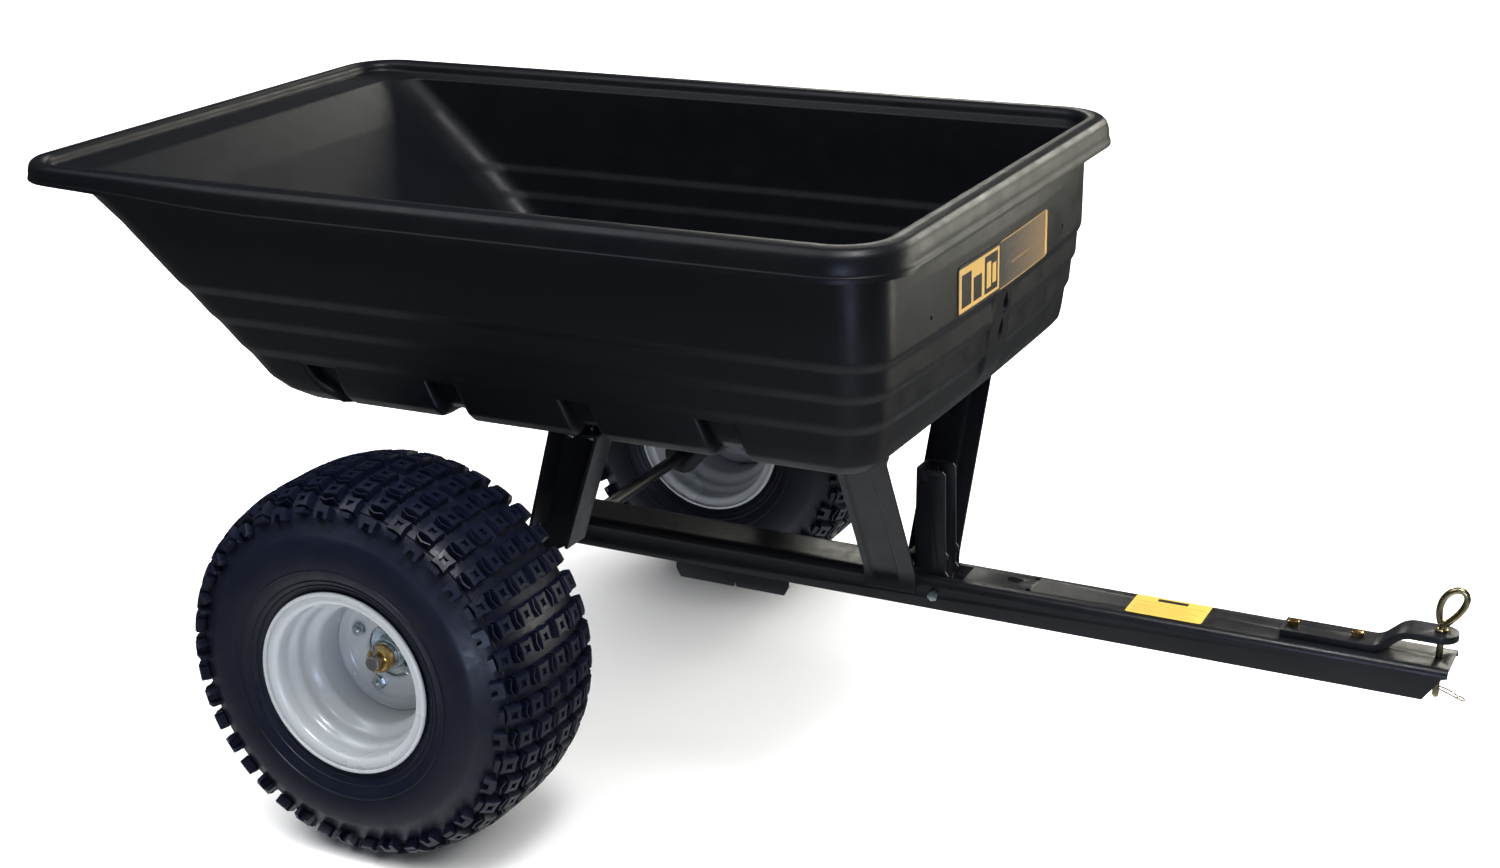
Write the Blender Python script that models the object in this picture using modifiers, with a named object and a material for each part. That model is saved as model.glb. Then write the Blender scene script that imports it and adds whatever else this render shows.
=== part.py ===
"""Tow-behind dump cart: a moulded poly tub on a channel tongue, with a cross
axle, two knobby tyres on pressed steel wheels, a spring latch and a hitch pin.

Metres, +Z up, +X towards the hitch, +Y to the cart's left, ground at Z = 0.
Four empties hold the moving groups: the bed and both wheels turn about the
axle, and the latch lever turns about its bolt in the tongue.
"""

import math

import bmesh
import bpy
from mathutils import Matrix, Vector

# ---- driving dimensions -------------------------------------------------------
AXLE_X = -0.29247         # the axle lies this far behind the middle of the cart
AXLE_Z = 0.2444           # axle height, which is the tyre's outer radius
BED_NOSE_UP = 0.88        # degrees that the tub rises towards the hitch at rest
GAP = 0.0004              # clearance between pieces that touch

# tongue
TONGUE_W = 0.076
TONGUE_H = 0.0415
TONGUE_T = 0.0035
TONGUE_TOP = 0.2650
TONGUE_REAR = -0.045
TONGUE_FRONT = 1.193
NOSE_CHAMFER = 0.034
LEG_BEND_R = 0.009
SPARE_HOLES = ((0.662, 0.022), (0.662, -0.017))
SPARE_HOLE_R = 0.0042
WORN_HOLE = (0.636, 0.006)
WORN_HOLE_R = 0.0090
SPLICE_REAR, SPLICE_FRONT, SPLICE_LOW = 0.160, 0.330, 0.2005
TONGUE_LABEL_X = (0.794, 0.892)
LABEL_T = 0.0006

# tub: the moulded wall and its rolled rim
WALL_T = 0.005
CREST_Z = 0.5516          # rim crest above the axle
CREST_HALF_W = 0.401
CREST_FRONT = 0.6086
CREST_REAR = -0.5885
CREST_R = 0.060           # plan radius of the rim's corners
RIM_OUT = 0.030
RIM_DROP = 0.038
FLOOR_Z = 0.2625          # underside of the floor above the axle
LABEL_HALF_W, LABEL_H = 0.160, 0.062
FRONT_HOLE_Y, FRONT_HOLE_Z, FRONT_HOLE_R = 0.235, 0.4280, 0.0035

# wheels
TYRE_Y = 0.483            # middle plane of each tyre from the cart's centre plane
TYRE_HALF_W = 0.115
RIM_R = 0.1175
SEAT_R = 0.1003
WELL_R = 0.0790
RIM_T = 0.0025
FLANGE_Y = 0.1021         # middle of a rim flange from the tyre's middle plane
DISC_HOLE_R = 0.036
DISC_T = 0.0032
WHEEL_STEPS = 28
LUG_CIRCLE_R = 0.0508
LUG_TURN = 65.0           # degrees from +X to the first lug bolt
BOLT_R = 0.0039
BOLT_HOLE_R = 0.0043
NUT_R = 0.0075            # corner radius of an M8 size nut or head
NUT_H = 0.0068
HEAD_H = 0.0055
VALVE_TURN = 20.0
VALVE_LEAN = -40.0
BUSH_L = 0.0250

# axle and what is threaded on it
AXLE_R = 0.0095
AXLE_END = 0.529
HUB_R = 0.0205
HUB_BORE = 0.0127
HUB_OUT = 0.0155          # hub end beyond the tyre's middle plane, outboard
HUB_IN = 0.0710
COLLAR_IN, COLLAR_OUT, COLLAR_R = 0.5048, 0.5195, 0.0168
WASHER_IN, WASHER_OUT, WASHER_R = 0.4992, 0.5044, 0.0185
SPACER_R = 0.0140
COTTER_Y = 0.5230
COTTER_R = 0.0016

# dump brackets, front arms, latch
BRACKET_Y = 0.290
BRACKET_FLANGE = 0.045
SHEET_T = 0.004
BRACKET_BOLT_X = (0.170, 0.198)
ARM_MIDDLE, ARM_W = 0.495, 0.072
ARM_STAGGER = 0.0125      # the left arm stands this far forward of the middle, the right one back
ARM_TAB_Y = 0.197
FOOT_CLEAR = (0.5300, 0.0030)   # corner of an arm's foot cut away for the latch bolt
FOOT_DROP = 0.0070        # the arms' feet end this far below the axle's height
SADDLE_REAR, SADDLE_FRONT = 0.458, 0.4905
SADDLE_Z = TONGUE_TOP - AXLE_Z + GAP - FOOT_DROP
LATCH_X, LATCH_Z = 0.5405, 0.2440
LATCH_TOP = 0.408
LATCH_HALF_W = 0.0200
LATCH_REAR, LATCH_FRONT, HOOK_REAR = 0.5045, 0.5490, 0.4925
LATCH_T = 0.0030
LATCH_EAR_R = 0.0105
SPRING_WIRE_R, SPRING_COIL_R, SPRING_TURNS = 0.0008, 0.0062, 4

# hitch
STRAP_W = 0.042
STRAP_T = 0.009
STRAP_RISE = 0.0255       # clevis gap between strap and tongue
HITCH_BOLT_X = (1.000, 1.078)
PIN_X = 1.176
PIN_R = 0.0042
PIN_COLLAR_R = 0.0075
CLIP_DROP = 20.0          # degrees that the hair clip droops towards the front
CLIP_Z = -0.0395          # clip hole below the tongue's top face
CLIP_R = 0.0010

BLACK_STEEL = ("black_powder_coat", (0.012, 0.013, 0.016), 0.45, 0.0)
POLY = ("black_polyethylene", (0.006, 0.007, 0.010), 0.42, 0.0)
RUBBER = ("tyre_rubber", (0.012, 0.013, 0.018), 0.62, 0.0)
SILVER_PAINT = ("silver_paint", (0.62, 0.64, 0.68), 0.35, 0.35)
BLUE_ZINC = ("clear_zinc", (0.55, 0.62, 0.66), 0.30, 0.9)
GOLD_ZINC = ("yellow_zinc", (0.75, 0.50, 0.16), 0.28, 1.0)
BARE_STEEL = ("bare_steel", (0.55, 0.52, 0.48), 0.35, 1.0)
NYLON = ("nylon", (0.08, 0.08, 0.08), 0.5, 0.0)
LABEL = ("label", (0.72, 0.48, 0.10), 0.4, 0.0)


# ---- scene and materials ---------------------------------------------------------
for old in list(bpy.data.objects):
    bpy.data.objects.remove(old)

cart = bpy.data.collections.new("dump_cart")
cutters = bpy.data.collections.new("cutters")
bpy.context.scene.collection.children.link(cart)
bpy.context.scene.collection.children.link(cutters)


def material(spec):
    name, colour, roughness, metallic = spec
    found = bpy.data.materials.get(name)
    if found:
        return found
    made = bpy.data.materials.new(name)
    made.use_nodes = True
    shader = made.node_tree.nodes["Principled BSDF"]
    shader.inputs["Base Color"].default_value = (*colour, 1.0)
    shader.inputs["Roughness"].default_value = roughness
    shader.inputs["Metallic"].default_value = metallic
    return made


def empty(name, place, turn=(0.0, 0.0, 0.0)):
    made = bpy.data.objects.new(name, None)
    made.location = place
    made.rotation_euler = turn
    made.empty_display_size = 0.05
    cart.objects.link(made)
    return made


chassis = empty("chassis", (AXLE_X, 0, 0))
bed = empty("bed", (AXLE_X, 0, AXLE_Z), (0, math.radians(-BED_NOSE_UP), 0))
latch = empty("latch", (AXLE_X + LATCH_X, 0, LATCH_Z))
hitch = empty("hitch", (AXLE_X + PIN_X, 0, TONGUE_TOP))


# ---- building blocks ---------------------------------------------------------------
# Plates are drawn as flat outlines. The three turns below stand an outline up:
# LEVEL keeps it in XY, SIDE lays it in XZ and FACE lays it in YZ.
LEVEL = Matrix.Identity(4)
SIDE = Matrix(((1, 0, 0, 0), (0, 0, -1, 0), (0, 1, 0, 0), (0, 0, 0, 1)))
FACE = Matrix(((0, 0, 1, 0), (1, 0, 0, 0), (0, 1, 0, 0), (0, 0, 0, 1)))


def keep(name, mesh, spec, parent, place=None):
    """Puts a finished mesh in the cart as one named piece."""
    made = bpy.data.objects.new(name, mesh)
    if not mesh.materials:
        mesh.materials.append(material(spec))
    mesh.shade_smooth()
    mesh.set_sharp_from_angle(angle=math.radians(35))
    made.parent = parent
    made.matrix_basis = place or LEVEL
    cart.objects.link(made)
    return made


def settled(source):
    """The evaluated mesh of a helper object, welded, faces out; the helper goes."""
    graph = bpy.context.evaluated_depsgraph_get()
    mesh = bpy.data.meshes.new_from_object(source.evaluated_get(graph))
    mesh.materials.clear()
    work = bmesh.new()
    work.from_mesh(mesh)
    bmesh.ops.remove_doubles(work, verts=work.verts, dist=1e-6)
    bmesh.ops.recalc_face_normals(work, faces=work.faces)
    work.to_mesh(mesh)
    work.free()
    bpy.data.objects.remove(source)
    return mesh


def plate_mesh(outline, thickness, turn=LEVEL, middle=(0, 0, 0)):
    """A flat outline given half its thickness each way, then stood up and moved."""
    curve = bpy.data.curves.new("outline", "CURVE")
    curve.dimensions = "2D"
    curve.fill_mode = "BOTH"
    curve.extrude = thickness / 2
    line = curve.splines.new("POLY")
    line.points.add(len(outline) - 1)
    for point, (u, v) in zip(line.points, outline):
        point.co = (u, v, 0, 1)
    line.use_cyclic_u = True
    helper = bpy.data.objects.new("outline", curve)
    bpy.context.scene.collection.objects.link(helper)
    bpy.context.view_layer.update()
    mesh = settled(helper)
    mesh.transform(Matrix.Translation(middle) @ turn)
    return mesh


def turned_mesh(profile, steps=32, turn=LEVEL, middle=(0, 0, 0)):
    """A (radius, height) line swept once round its own Z axis: a closed loop
    for a ring, or an open line from pole to pole where it ends on the axis."""
    mesh = bpy.data.meshes.new("profile")
    points = [(r, 0, h) for r, h in profile]
    ring = profile[0][0] > 0
    edges = [(i, i + 1) for i in range(len(points) - 1)] + ([(len(points) - 1, 0)] if ring else [])
    mesh.from_pydata(points, edges, [])
    helper = bpy.data.objects.new("profile", mesh)
    bpy.context.scene.collection.objects.link(helper)
    screw = helper.modifiers.new("sweep", "SCREW")
    screw.steps = screw.render_steps = steps
    screw.use_merge_vertices = True
    screw.merge_threshold = 1e-5
    bpy.context.view_layer.update()
    mesh = settled(helper)
    mesh.transform(Matrix.Translation(middle) @ turn)
    return mesh


def tube_mesh(points, radius, sides=2, closed=False):
    """Round wire along a list of points."""
    curve = bpy.data.curves.new("wire", "CURVE")
    curve.dimensions = "3D"
    curve.bevel_depth = radius
    curve.bevel_resolution = sides
    curve.use_fill_caps = True
    line = curve.splines.new("POLY")
    line.points.add(len(points) - 1)
    for point, place in zip(line.points, points):
        point.co = (*place, 1)
    line.use_cyclic_u = closed
    helper = bpy.data.objects.new("wire", curve)
    bpy.context.scene.collection.objects.link(helper)
    bpy.context.view_layer.update()
    return settled(helper)


def drum_mesh(radius, low, high, sides=32, turn=LEVEL, middle=(0, 0, 0), spin=0.0):
    """A cylinder, or a hexagonal head with sides=6, between two heights."""
    work = bmesh.new()
    bmesh.ops.create_cone(work, cap_ends=True, segments=sides, radius1=radius,
                          radius2=radius, depth=high - low)
    mesh = bpy.data.meshes.new("drum")
    work.to_mesh(mesh)
    work.free()
    lift = Matrix.Translation((0, 0, (low + high) / 2)) @ Matrix.Rotation(spin, 4, "Z")
    mesh.transform(Matrix.Translation(middle) @ turn @ lift)
    return mesh


def box_mesh(low, high):
    work = bmesh.new()
    bmesh.ops.create_cube(work, size=1)
    mesh = bpy.data.meshes.new("box")
    work.to_mesh(mesh)
    work.free()
    low, high = Vector(low), Vector(high)
    size = Matrix.Diagonal((*(high - low), 1))
    mesh.transform(Matrix.Translation((low + high) / 2) @ size)
    return mesh


def combine(piece, tools, operation):
    """Boolean of a piece with meshes drawn in the same parent's space."""
    for tool in tools:
        helper = bpy.data.objects.new(piece.name + "_tool", tool)
        helper.parent = piece.parent
        helper.matrix_basis = piece.matrix_basis
        helper.hide_render = True
        helper.display_type = "WIRE"
        cutters.objects.link(helper)
        step = piece.modifiers.new(operation.lower(), "BOOLEAN")
        step.operation = operation
        step.object = helper
    return piece


def cut(piece, *tools):
    return combine(piece, tools, "DIFFERENCE")


def join(piece, *tools):
    return combine(piece, tools, "UNION")


def arc(centre, radius, start, end, steps):
    """Points on an arc, angles in degrees."""
    return [(centre[0] + radius * math.cos(math.radians(start + (end - start) * i / steps)),
             centre[1] + radius * math.sin(math.radians(start + (end - start) * i / steps)))
            for i in range(steps + 1)]


def filleted(points, radius, steps=4, closed=True):
    """Rounds the corners of an outline with quadratic blends."""
    result = []
    count = len(points)
    for i, corner in enumerate(points):
        if not closed and i in (0, count - 1):
            result.append(tuple(corner))
            continue
        corner = Vector(corner)
        before = Vector(points[i - 1]) - corner
        after = Vector(points[(i + 1) % count]) - corner
        reach = min(radius, before.length * 0.49, after.length * 0.49)
        start = corner + before.normalized() * reach
        end = corner + after.normalized() * reach
        for k in range(steps + 1):
            t = k / steps
            spot = start * (1 - t) ** 2 + corner * 2 * t * (1 - t) + end * t ** 2
            result.append((spot.x, spot.y))
    return result


def folded(points, thickness, radius, steps=3):
    """Outline of a sheet of this thickness that follows a bent centre line."""
    line = [Vector(p) for p in (filleted(points, radius, steps, closed=False) if radius else points)]
    left, right = [], []
    for i, spot in enumerate(line):
        ahead = line[min(i + 1, len(line) - 1)] - spot
        behind = spot - line[max(i - 1, 0)]
        way = (ahead.normalized() if ahead.length else Vector((0, 0))) + \
              (behind.normalized() if behind.length else Vector((0, 0)))
        way.normalize()
        side = Vector((-way.y, way.x))
        along = ahead if ahead.length else behind
        stretch = 1 / max(0.5, abs(along.normalized().dot(way)))
        left.append(spot + side * thickness / 2 * stretch)
        right.append(spot - side * thickness / 2 * stretch)
    return [tuple(p) for p in left + right[::-1]]


def sided(base, side):
    return base + ("_left" if side > 0 else "_right")


# ---- tub ------------------------------------------------------------------------------
# Rim roll from the lip over the crest: shares of RIM_OUT outwards and RIM_DROP down.
RIM_ROLL = [(1.00, 1.00), (0.98, 0.50), (0.86, 0.20), (0.60, 0.04), (0.25, 0.0),
            (-0.05, 0.03), (-0.28, 0.16)]
# Outer faces of the walls: height, half width, front, rear, plan corner radius and
# the front wall's outward bow. Three shallow steps each set the wall in by 5 mm.
WALL_LEVELS = [
    (0.5280, 0.3865, 0.6085, -0.5290, 0.058, 0.004),
    (0.4800, 0.3840, 0.6080, -0.4760, 0.057, 0.010),
    (0.4065, 0.3810, 0.6075, -0.3990, 0.056, 0.011),
    (0.3940, 0.3765, 0.6025, -0.3830, 0.054, 0.011),
    (0.3675, 0.3745, 0.6015, -0.3565, 0.053, 0.012),
    (0.3550, 0.3700, 0.5965, -0.3405, 0.051, 0.012),
    (0.3285, 0.3675, 0.5945, -0.3150, 0.050, 0.012),
    (0.3160, 0.3630, 0.5895, -0.3000, 0.048, 0.012),
    (0.2900, 0.3595, 0.5860, -0.2760, 0.046, 0.009),
    (0.2750, 0.3570, 0.5835, -0.2510, 0.044, 0.006),
    (0.2660, 0.3500, 0.5765, -0.2200, 0.040, 0.003),
    (FLOOR_Z, 0.3360, 0.5630, -0.1800, 0.034, 0.0),
]
CORNER_STEPS = 6
FRONT_SPANS = 6


def tub_levels():
    """Levels of the skin that faces the cargo, from the rim's lip to the floor."""
    levels = []
    for out, drop in RIM_ROLL:
        reach = out * RIM_OUT
        levels.append((CREST_Z - drop * RIM_DROP, CREST_HALF_W + reach, CREST_FRONT + reach,
                       CREST_REAR - reach, CREST_R + reach, 0.0))
    for height, half, front, rear, radius, bow in WALL_LEVELS:
        lift = WALL_T if height == FLOOR_Z else 0.5 * WALL_T * (height < 0.28)
        levels.append((height + lift, half - WALL_T, front - WALL_T, rear + 1.4 * WALL_T,
                       radius - WALL_T, bow))
    return levels


def bowed(y, straight, bow):
    """How far the front wall stands out at y, on a parabola over its straight part."""
    return bow * (1 - (y / straight) ** 2)


def level_loop(height, half, front, rear, radius, bow):
    corners = [((front - radius, half - radius), 0), ((rear + radius, half - radius), 90),
               ((rear + radius, radius - half), 180), ((front - radius, radius - half), 270)]
    loop = []
    for centre, start in corners:
        loop += [(x, y, height) for x, y in arc(centre, radius, start, start + 90, CORNER_STEPS)]
    straight = half - radius
    for k in range(1, FRONT_SPANS):
        y = straight * (2 * k / FRONT_SPANS - 1)
        loop.append((front + bowed(y, straight, bow), y, height))
    return loop


def make_tub():
    loops = [level_loop(*level) for level in tub_levels()]
    count = len(loops[0])
    points = [p for loop in loops for p in loop]
    faces = []
    for row in range(len(loops) - 1):
        for i in range(count):
            j = (i + 1) % count
            faces.append((row * count + i, row * count + j,
                          (row + 1) * count + j, (row + 1) * count + i))
    last = (len(loops) - 1) * count
    faces.append(tuple(last + i for i in range(count)))
    mesh = bpy.data.meshes.new("tub")
    mesh.from_pydata(points, [], faces)
    work = bmesh.new()
    work.from_mesh(mesh)
    work.faces.ensure_lookup_table()
    # the skin faces the cargo, so that its thickness grows outwards
    if work.faces[len(faces) - 1].normal.z < 0:
        bmesh.ops.reverse_faces(work, faces=work.faces)
    work.to_mesh(mesh)
    work.free()
    tub = keep("tub", mesh, POLY, bed)
    shell = tub.modifiers.new("wall", "SOLIDIFY")
    shell.thickness = WALL_T
    shell.offset = -1
    shell.use_even_offset = True
    holes = [drum_mesh(BOLT_HOLE_R, 0.24, 0.30, 10, LEVEL, (x, y, 0)) for x, y in bed_bolt_places()]
    for y in (-FRONT_HOLE_Y, FRONT_HOLE_Y):
        holes.append(drum_mesh(FRONT_HOLE_R, 0.55, 0.65, 10, FACE, (0, y, FRONT_HOLE_Z)))
    cut(tub, *holes)


def bed_bolt_places():
    """Centres of the bolts through the tub's floor: two for each bracket, one for each arm."""
    places = []
    for side in (1, -1):
        places += [(x, side * (BRACKET_Y + 0.5 * BRACKET_FLANGE)) for x in BRACKET_BOLT_X]
        places.append((ARM_MIDDLE + side * ARM_STAGGER, side * ARM_TAB_Y))
    return places


def make_bed_bolts():
    """Carriage bolts: a domed head on the tub's floor and a nut under the sheet."""
    head = FLOOR_Z + WALL_T + GAP
    under = FLOOR_Z - SHEET_T - 3 * GAP
    dome = [(0, head), (0.0085, head), (0.0075, head + 0.0022), (0.0045, head + 0.0038), (0, head + 0.0043)]
    names = []
    for side in (1, -1):
        names += [sided("bracket_bolt_rear", side), sided("bracket_bolt_front", side),
                  sided("arm_bolt", side)]
    for name, (x, y) in zip(names, bed_bolt_places()):
        bolt = keep(name, turned_mesh(dome, 10), BLUE_ZINC, bed, Matrix.Translation((x, y, 0)))
        shank = drum_mesh(BOLT_R, under - 0.0095, head + 0.001, 10, spin=math.radians(9))
        nut = drum_mesh(NUT_R - 0.0002, under - NUT_H, under, 6, spin=math.radians(4))
        join(bolt, shank, nut)


# ---- dump brackets: outward-opening channels from the axle to the tub floor ---------
def bracket_outline():
    """Side view of a bracket's web about the axle, in the bed's own axes."""
    ear = arc((0, 0), 0.028, 128, 318, 10)
    return ear + [(0.108, 0.073), (0.168, 0.106), (0.2195, FLOOR_Z - GAP),
                  (0.1500, FLOOR_Z - GAP), (0.1120, 0.122)]


def make_bracket(side):
    web_y = side * (BRACKET_Y + 0.5 * SHEET_T)
    web = plate_mesh(bracket_outline(), SHEET_T, SIDE, (0, web_y, 0))
    bracket = keep(sided("dump_bracket", side), web, BLACK_STEEL, bed)
    middle = side * (BRACKET_Y + 0.5 * BRACKET_FLANGE)
    # front and rear flanges and the top flange under the floor are strips of sheet
    t = SHEET_T
    under = FLOOR_Z - GAP
    rear = [(-0.0100, 0.0300), (0.1120, 0.1220), (0.1500, under), (0.1500 + t, under),
            (0.1120 + t, 0.1205), (-0.0060, 0.0272)]
    front = [(0.1680, 0.1060), (0.2195, under), (0.2195 - t, under), (0.1680 - t, 0.1072)]
    top = [(0.1510, under), (0.2185, under), (0.2185, under - t), (0.1510, under - t)]
    join(bracket, *[plate_mesh(s, BRACKET_FLANGE, SIDE, (0, middle, 0)) for s in (rear, front, top)])
    holes = [drum_mesh(AXLE_R + GAP, -0.5, 0.5, 32, SIDE)]
    holes += [drum_mesh(BOLT_HOLE_R, 0.24, 0.275, 10, LEVEL, (x, middle, 0)) for x in BRACKET_BOLT_X]
    cut(bracket, *holes)


# ---- front arms and the saddle that joins their feet --------------------------------
def make_arm(side):
    foot_y = TONGUE_W / 2 + GAP + 2 * TONGUE_T
    tab = FLOOR_Z - GAP - 0.5 * TONGUE_T
    path = [(foot_y, -FOOT_DROP), (foot_y, 0.0160), (0.1740, tab), (0.2150, tab)]
    outline = folded([(side * y, z) for y, z in path], TONGUE_T, 0.012)
    middle = ARM_MIDDLE + side * ARM_STAGGER
    arm = keep(sided("front_arm", side), plate_mesh(outline, ARM_W, FACE, (middle, 0, 0)), BLACK_STEEL, bed)
    cut(arm, drum_mesh(BOLT_HOLE_R, 0.24, 0.275, 10, LEVEL, (middle, side * ARM_TAB_Y, 0)))
    if side > 0:
        cut(arm, box_mesh((FOOT_CLEAR[0], 0.03, -0.02), (0.56, 0.06, FOOT_CLEAR[1])))


def make_saddle():
    half = TONGUE_W / 2 + GAP + 0.5 * TONGUE_T
    top = SADDLE_Z + 0.5 * TONGUE_T
    outline = folded([(-half, -FOOT_DROP), (-half, top), (half, top), (half, -FOOT_DROP)], TONGUE_T, 0.004)
    middle = 0.5 * (SADDLE_REAR + SADDLE_FRONT)
    keep("latch_saddle", plate_mesh(outline, SADDLE_FRONT - SADDLE_REAR, FACE, (middle, 0, 0)), BLACK_STEEL, bed)


# ---- front label on the tub -----------------------------------------------------------
def make_front_label():
    """Thin plate bent to the bowed front wall, just above its first step."""
    height, half, front, _, radius, bow = WALL_LEVELS[2]
    stations = [LABEL_HALF_W * (k / 6 - 1) for k in range(13)]
    inner = [(front + GAP + bowed(y, half - radius, bow), y) for y in stations]
    outline = inner + [(x + LABEL_T, y) for x, y in inner[::-1]]
    middle = height + 0.0005 + LABEL_H / 2
    keep("front_label", plate_mesh(outline, LABEL_H, LEVEL, (0, 0, middle)), LABEL, bed)


# ---- tongue and hitch --------------------------------------------------------------------
def make_tongue():
    half = TONGUE_W / 2 - TONGUE_T / 2
    low, top = TONGUE_TOP - TONGUE_H, TONGUE_TOP - TONGUE_T / 2
    outline = folded([(-half, low), (-half, top), (half, top), (half, low)], TONGUE_T, LEG_BEND_R, 4)
    length = TONGUE_FRONT - TONGUE_REAR
    mesh = plate_mesh(outline, length, FACE, ((TONGUE_FRONT + TONGUE_REAR) / 2, 0, 0))
    tongue = keep("tongue", mesh, BLACK_STEEL, chassis)
    nose = [(TONGUE_FRONT + 0.01, low - 0.01), (TONGUE_FRONT + 0.01, low + NOSE_CHAMFER),
            (TONGUE_FRONT - 0.006, low + NOSE_CHAMFER - 0.004), (TONGUE_FRONT - NOSE_CHAMFER, low - 0.01)]
    slot_low = TONGUE_TOP - 0.010
    high = TONGUE_TOP + 0.01
    cut(tongue,
        plate_mesh(nose, 0.10, SIDE),
        drum_mesh(AXLE_R + GAP, -0.1, 0.1, 32, SIDE, (0, 0, AXLE_Z)),
        drum_mesh(BOLT_HOLE_R, -0.1, 0.1, 16, SIDE, (LATCH_X, 0, LATCH_Z)),
        box_mesh((0.4990, -0.0235, slot_low), (0.5740, 0.0235, high)),
        drum_mesh(PIN_R + 0.0008, slot_low, high, 16, LEVEL, (PIN_X, 0, 0)),
        *[drum_mesh(BOLT_HOLE_R, slot_low, high, 10, LEVEL, (x, 0, 0)) for x in HITCH_BOLT_X],
        *[drum_mesh(SPARE_HOLE_R, slot_low, high, 10, LEVEL, (x, y, 0)) for x, y in SPARE_HOLES],
        drum_mesh(WORN_HOLE_R, slot_low, high, 14, LEVEL, (*WORN_HOLE, 0)))


def make_splice():
    """Stiffening channel nested in the tongue, with legs that hang below it."""
    half = TONGUE_W / 2 - TONGUE_T - GAP - TONGUE_T / 2
    top = TONGUE_TOP - TONGUE_T - GAP - TONGUE_T / 2
    low, rear, front = SPLICE_LOW, SPLICE_REAR, SPLICE_FRONT
    outline = folded([(-half, low), (-half, top), (half, top), (half, low)], TONGUE_T, LEG_BEND_R, 4)
    splice = keep("splice_channel", plate_mesh(outline, front - rear, FACE, ((rear + front) / 2, 0, 0)),
                  BLACK_STEEL, chassis)
    chamfers = [plate_mesh([(end - way * 0.01, low - 0.01), (end + way * 0.012, low - 0.01),
                            (end - way * 0.002, low + 0.016), (end - way * 0.01, low + 0.016)], 0.1, SIDE)
                for end, way in ((rear, 1), (front, -1))]
    notch = plate_mesh([(0.245, low - 0.01), (0.255, low - 0.01), (0.250, low + 0.007)], 0.1, SIDE)
    cut(splice, *chamfers, notch)


def make_tongue_label():
    base = TONGUE_TOP + GAP
    mesh = box_mesh((TONGUE_LABEL_X[0], -LABEL_H / 2, base), (TONGUE_LABEL_X[1], LABEL_H / 2, base + LABEL_T))
    keep("tongue_label", mesh, LABEL, chassis)


def strap_line():
    """Centre line of the hitch strap: flat on the tongue, stepped up, level again."""
    low = TONGUE_TOP + GAP + STRAP_T / 2
    high = TONGUE_TOP + STRAP_RISE + STRAP_T / 2
    return [(0.988, low), (1.106, low), (1.134, high), (1.197, high)]


def make_strap():
    outline = folded(strap_line(), STRAP_T, 0.011, 4)
    strap = keep("hitch_strap", plate_mesh(outline, STRAP_W, SIDE), BLACK_STEEL, chassis)
    reach = STRAP_W / 2
    nose = arc((1.197 - reach, 0), reach, -90, 90, 12)
    plan = nose + [(0.985, reach + 0.001), (0.985, -reach - 0.001)]
    combine(strap, [plate_mesh(plan, 0.1, LEVEL, (0, 0, 0.28))], "INTERSECT")
    low, high = TONGUE_TOP - 0.02, TONGUE_TOP + 0.06
    cut(strap, drum_mesh(PIN_R + 0.0010, low, high, 20, LEVEL, (PIN_X, 0, 0)),
        *[drum_mesh(BOLT_HOLE_R, low, high, 16, LEVEL, (x, 0, 0)) for x in HITCH_BOLT_X])


def make_hitch_bolts():
    top = TONGUE_TOP + GAP + STRAP_T + GAP
    under = TONGUE_TOP - TONGUE_T - GAP
    for number, x in enumerate(HITCH_BOLT_X, start=1):
        place = Matrix.Translation((x, 0, 0))
        head = drum_mesh(NUT_R, top, top + HEAD_H, 6, spin=math.radians(15))
        bolt = keep("hitch_bolt_%d" % number, head, GOLD_ZINC, chassis, place)
        join(bolt, drum_mesh(BOLT_R - 0.0002, under - 0.0095, top + 0.001, 16))
        hexagon = drum_mesh(NUT_R, under - NUT_H, under, 6)
        nut = keep("hitch_nut_%d" % number, hexagon, GOLD_ZINC, chassis, place)
        cut(nut, drum_mesh(BOLT_R + 0.0002, under - 0.02, under + 0.01, 16))


def teardrop(width, height, lean, steps):
    """Wire loop of the pin's handle, from its foot round and back, leaning forward."""
    points = []
    for i in range(steps + 1):
        a = math.pi * (0.5 + 2 * i / steps)
        u = width / 2 * math.cos(a) * math.sin(a / 2 - math.pi / 4) ** 0.8 if i not in (0, steps) else 0
        v = height * (0.5 - 0.5 * math.sin(a))
        points.append((-u + lean * v, v))
    return points


def make_hitch_pin():
    foot = STRAP_RISE + STRAP_T + 0.0065
    loop = teardrop(0.034, 0.0490, 0.34, 18)[:-2]
    path = [(0, 0, -0.0485), (0, 0, -0.0300), (0, 0, 0), (0, 0, 0.025)]
    path += [(x, 0, foot + z) for x, z in loop]
    pin = keep("hitch_pin", tube_mesh(path, PIN_R, 2), GOLD_ZINC, hitch)
    collar = drum_mesh(PIN_COLLAR_R, STRAP_RISE + STRAP_T + GAP, STRAP_RISE + STRAP_T + 0.0035, 20)
    join(pin, collar)
    tilt = Matrix.Rotation(math.radians(90 + CLIP_DROP), 4, "Y")
    cut(pin, drum_mesh(0.0016, -0.02, 0.02, 12, tilt, (0, 0, CLIP_Z)))


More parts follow.
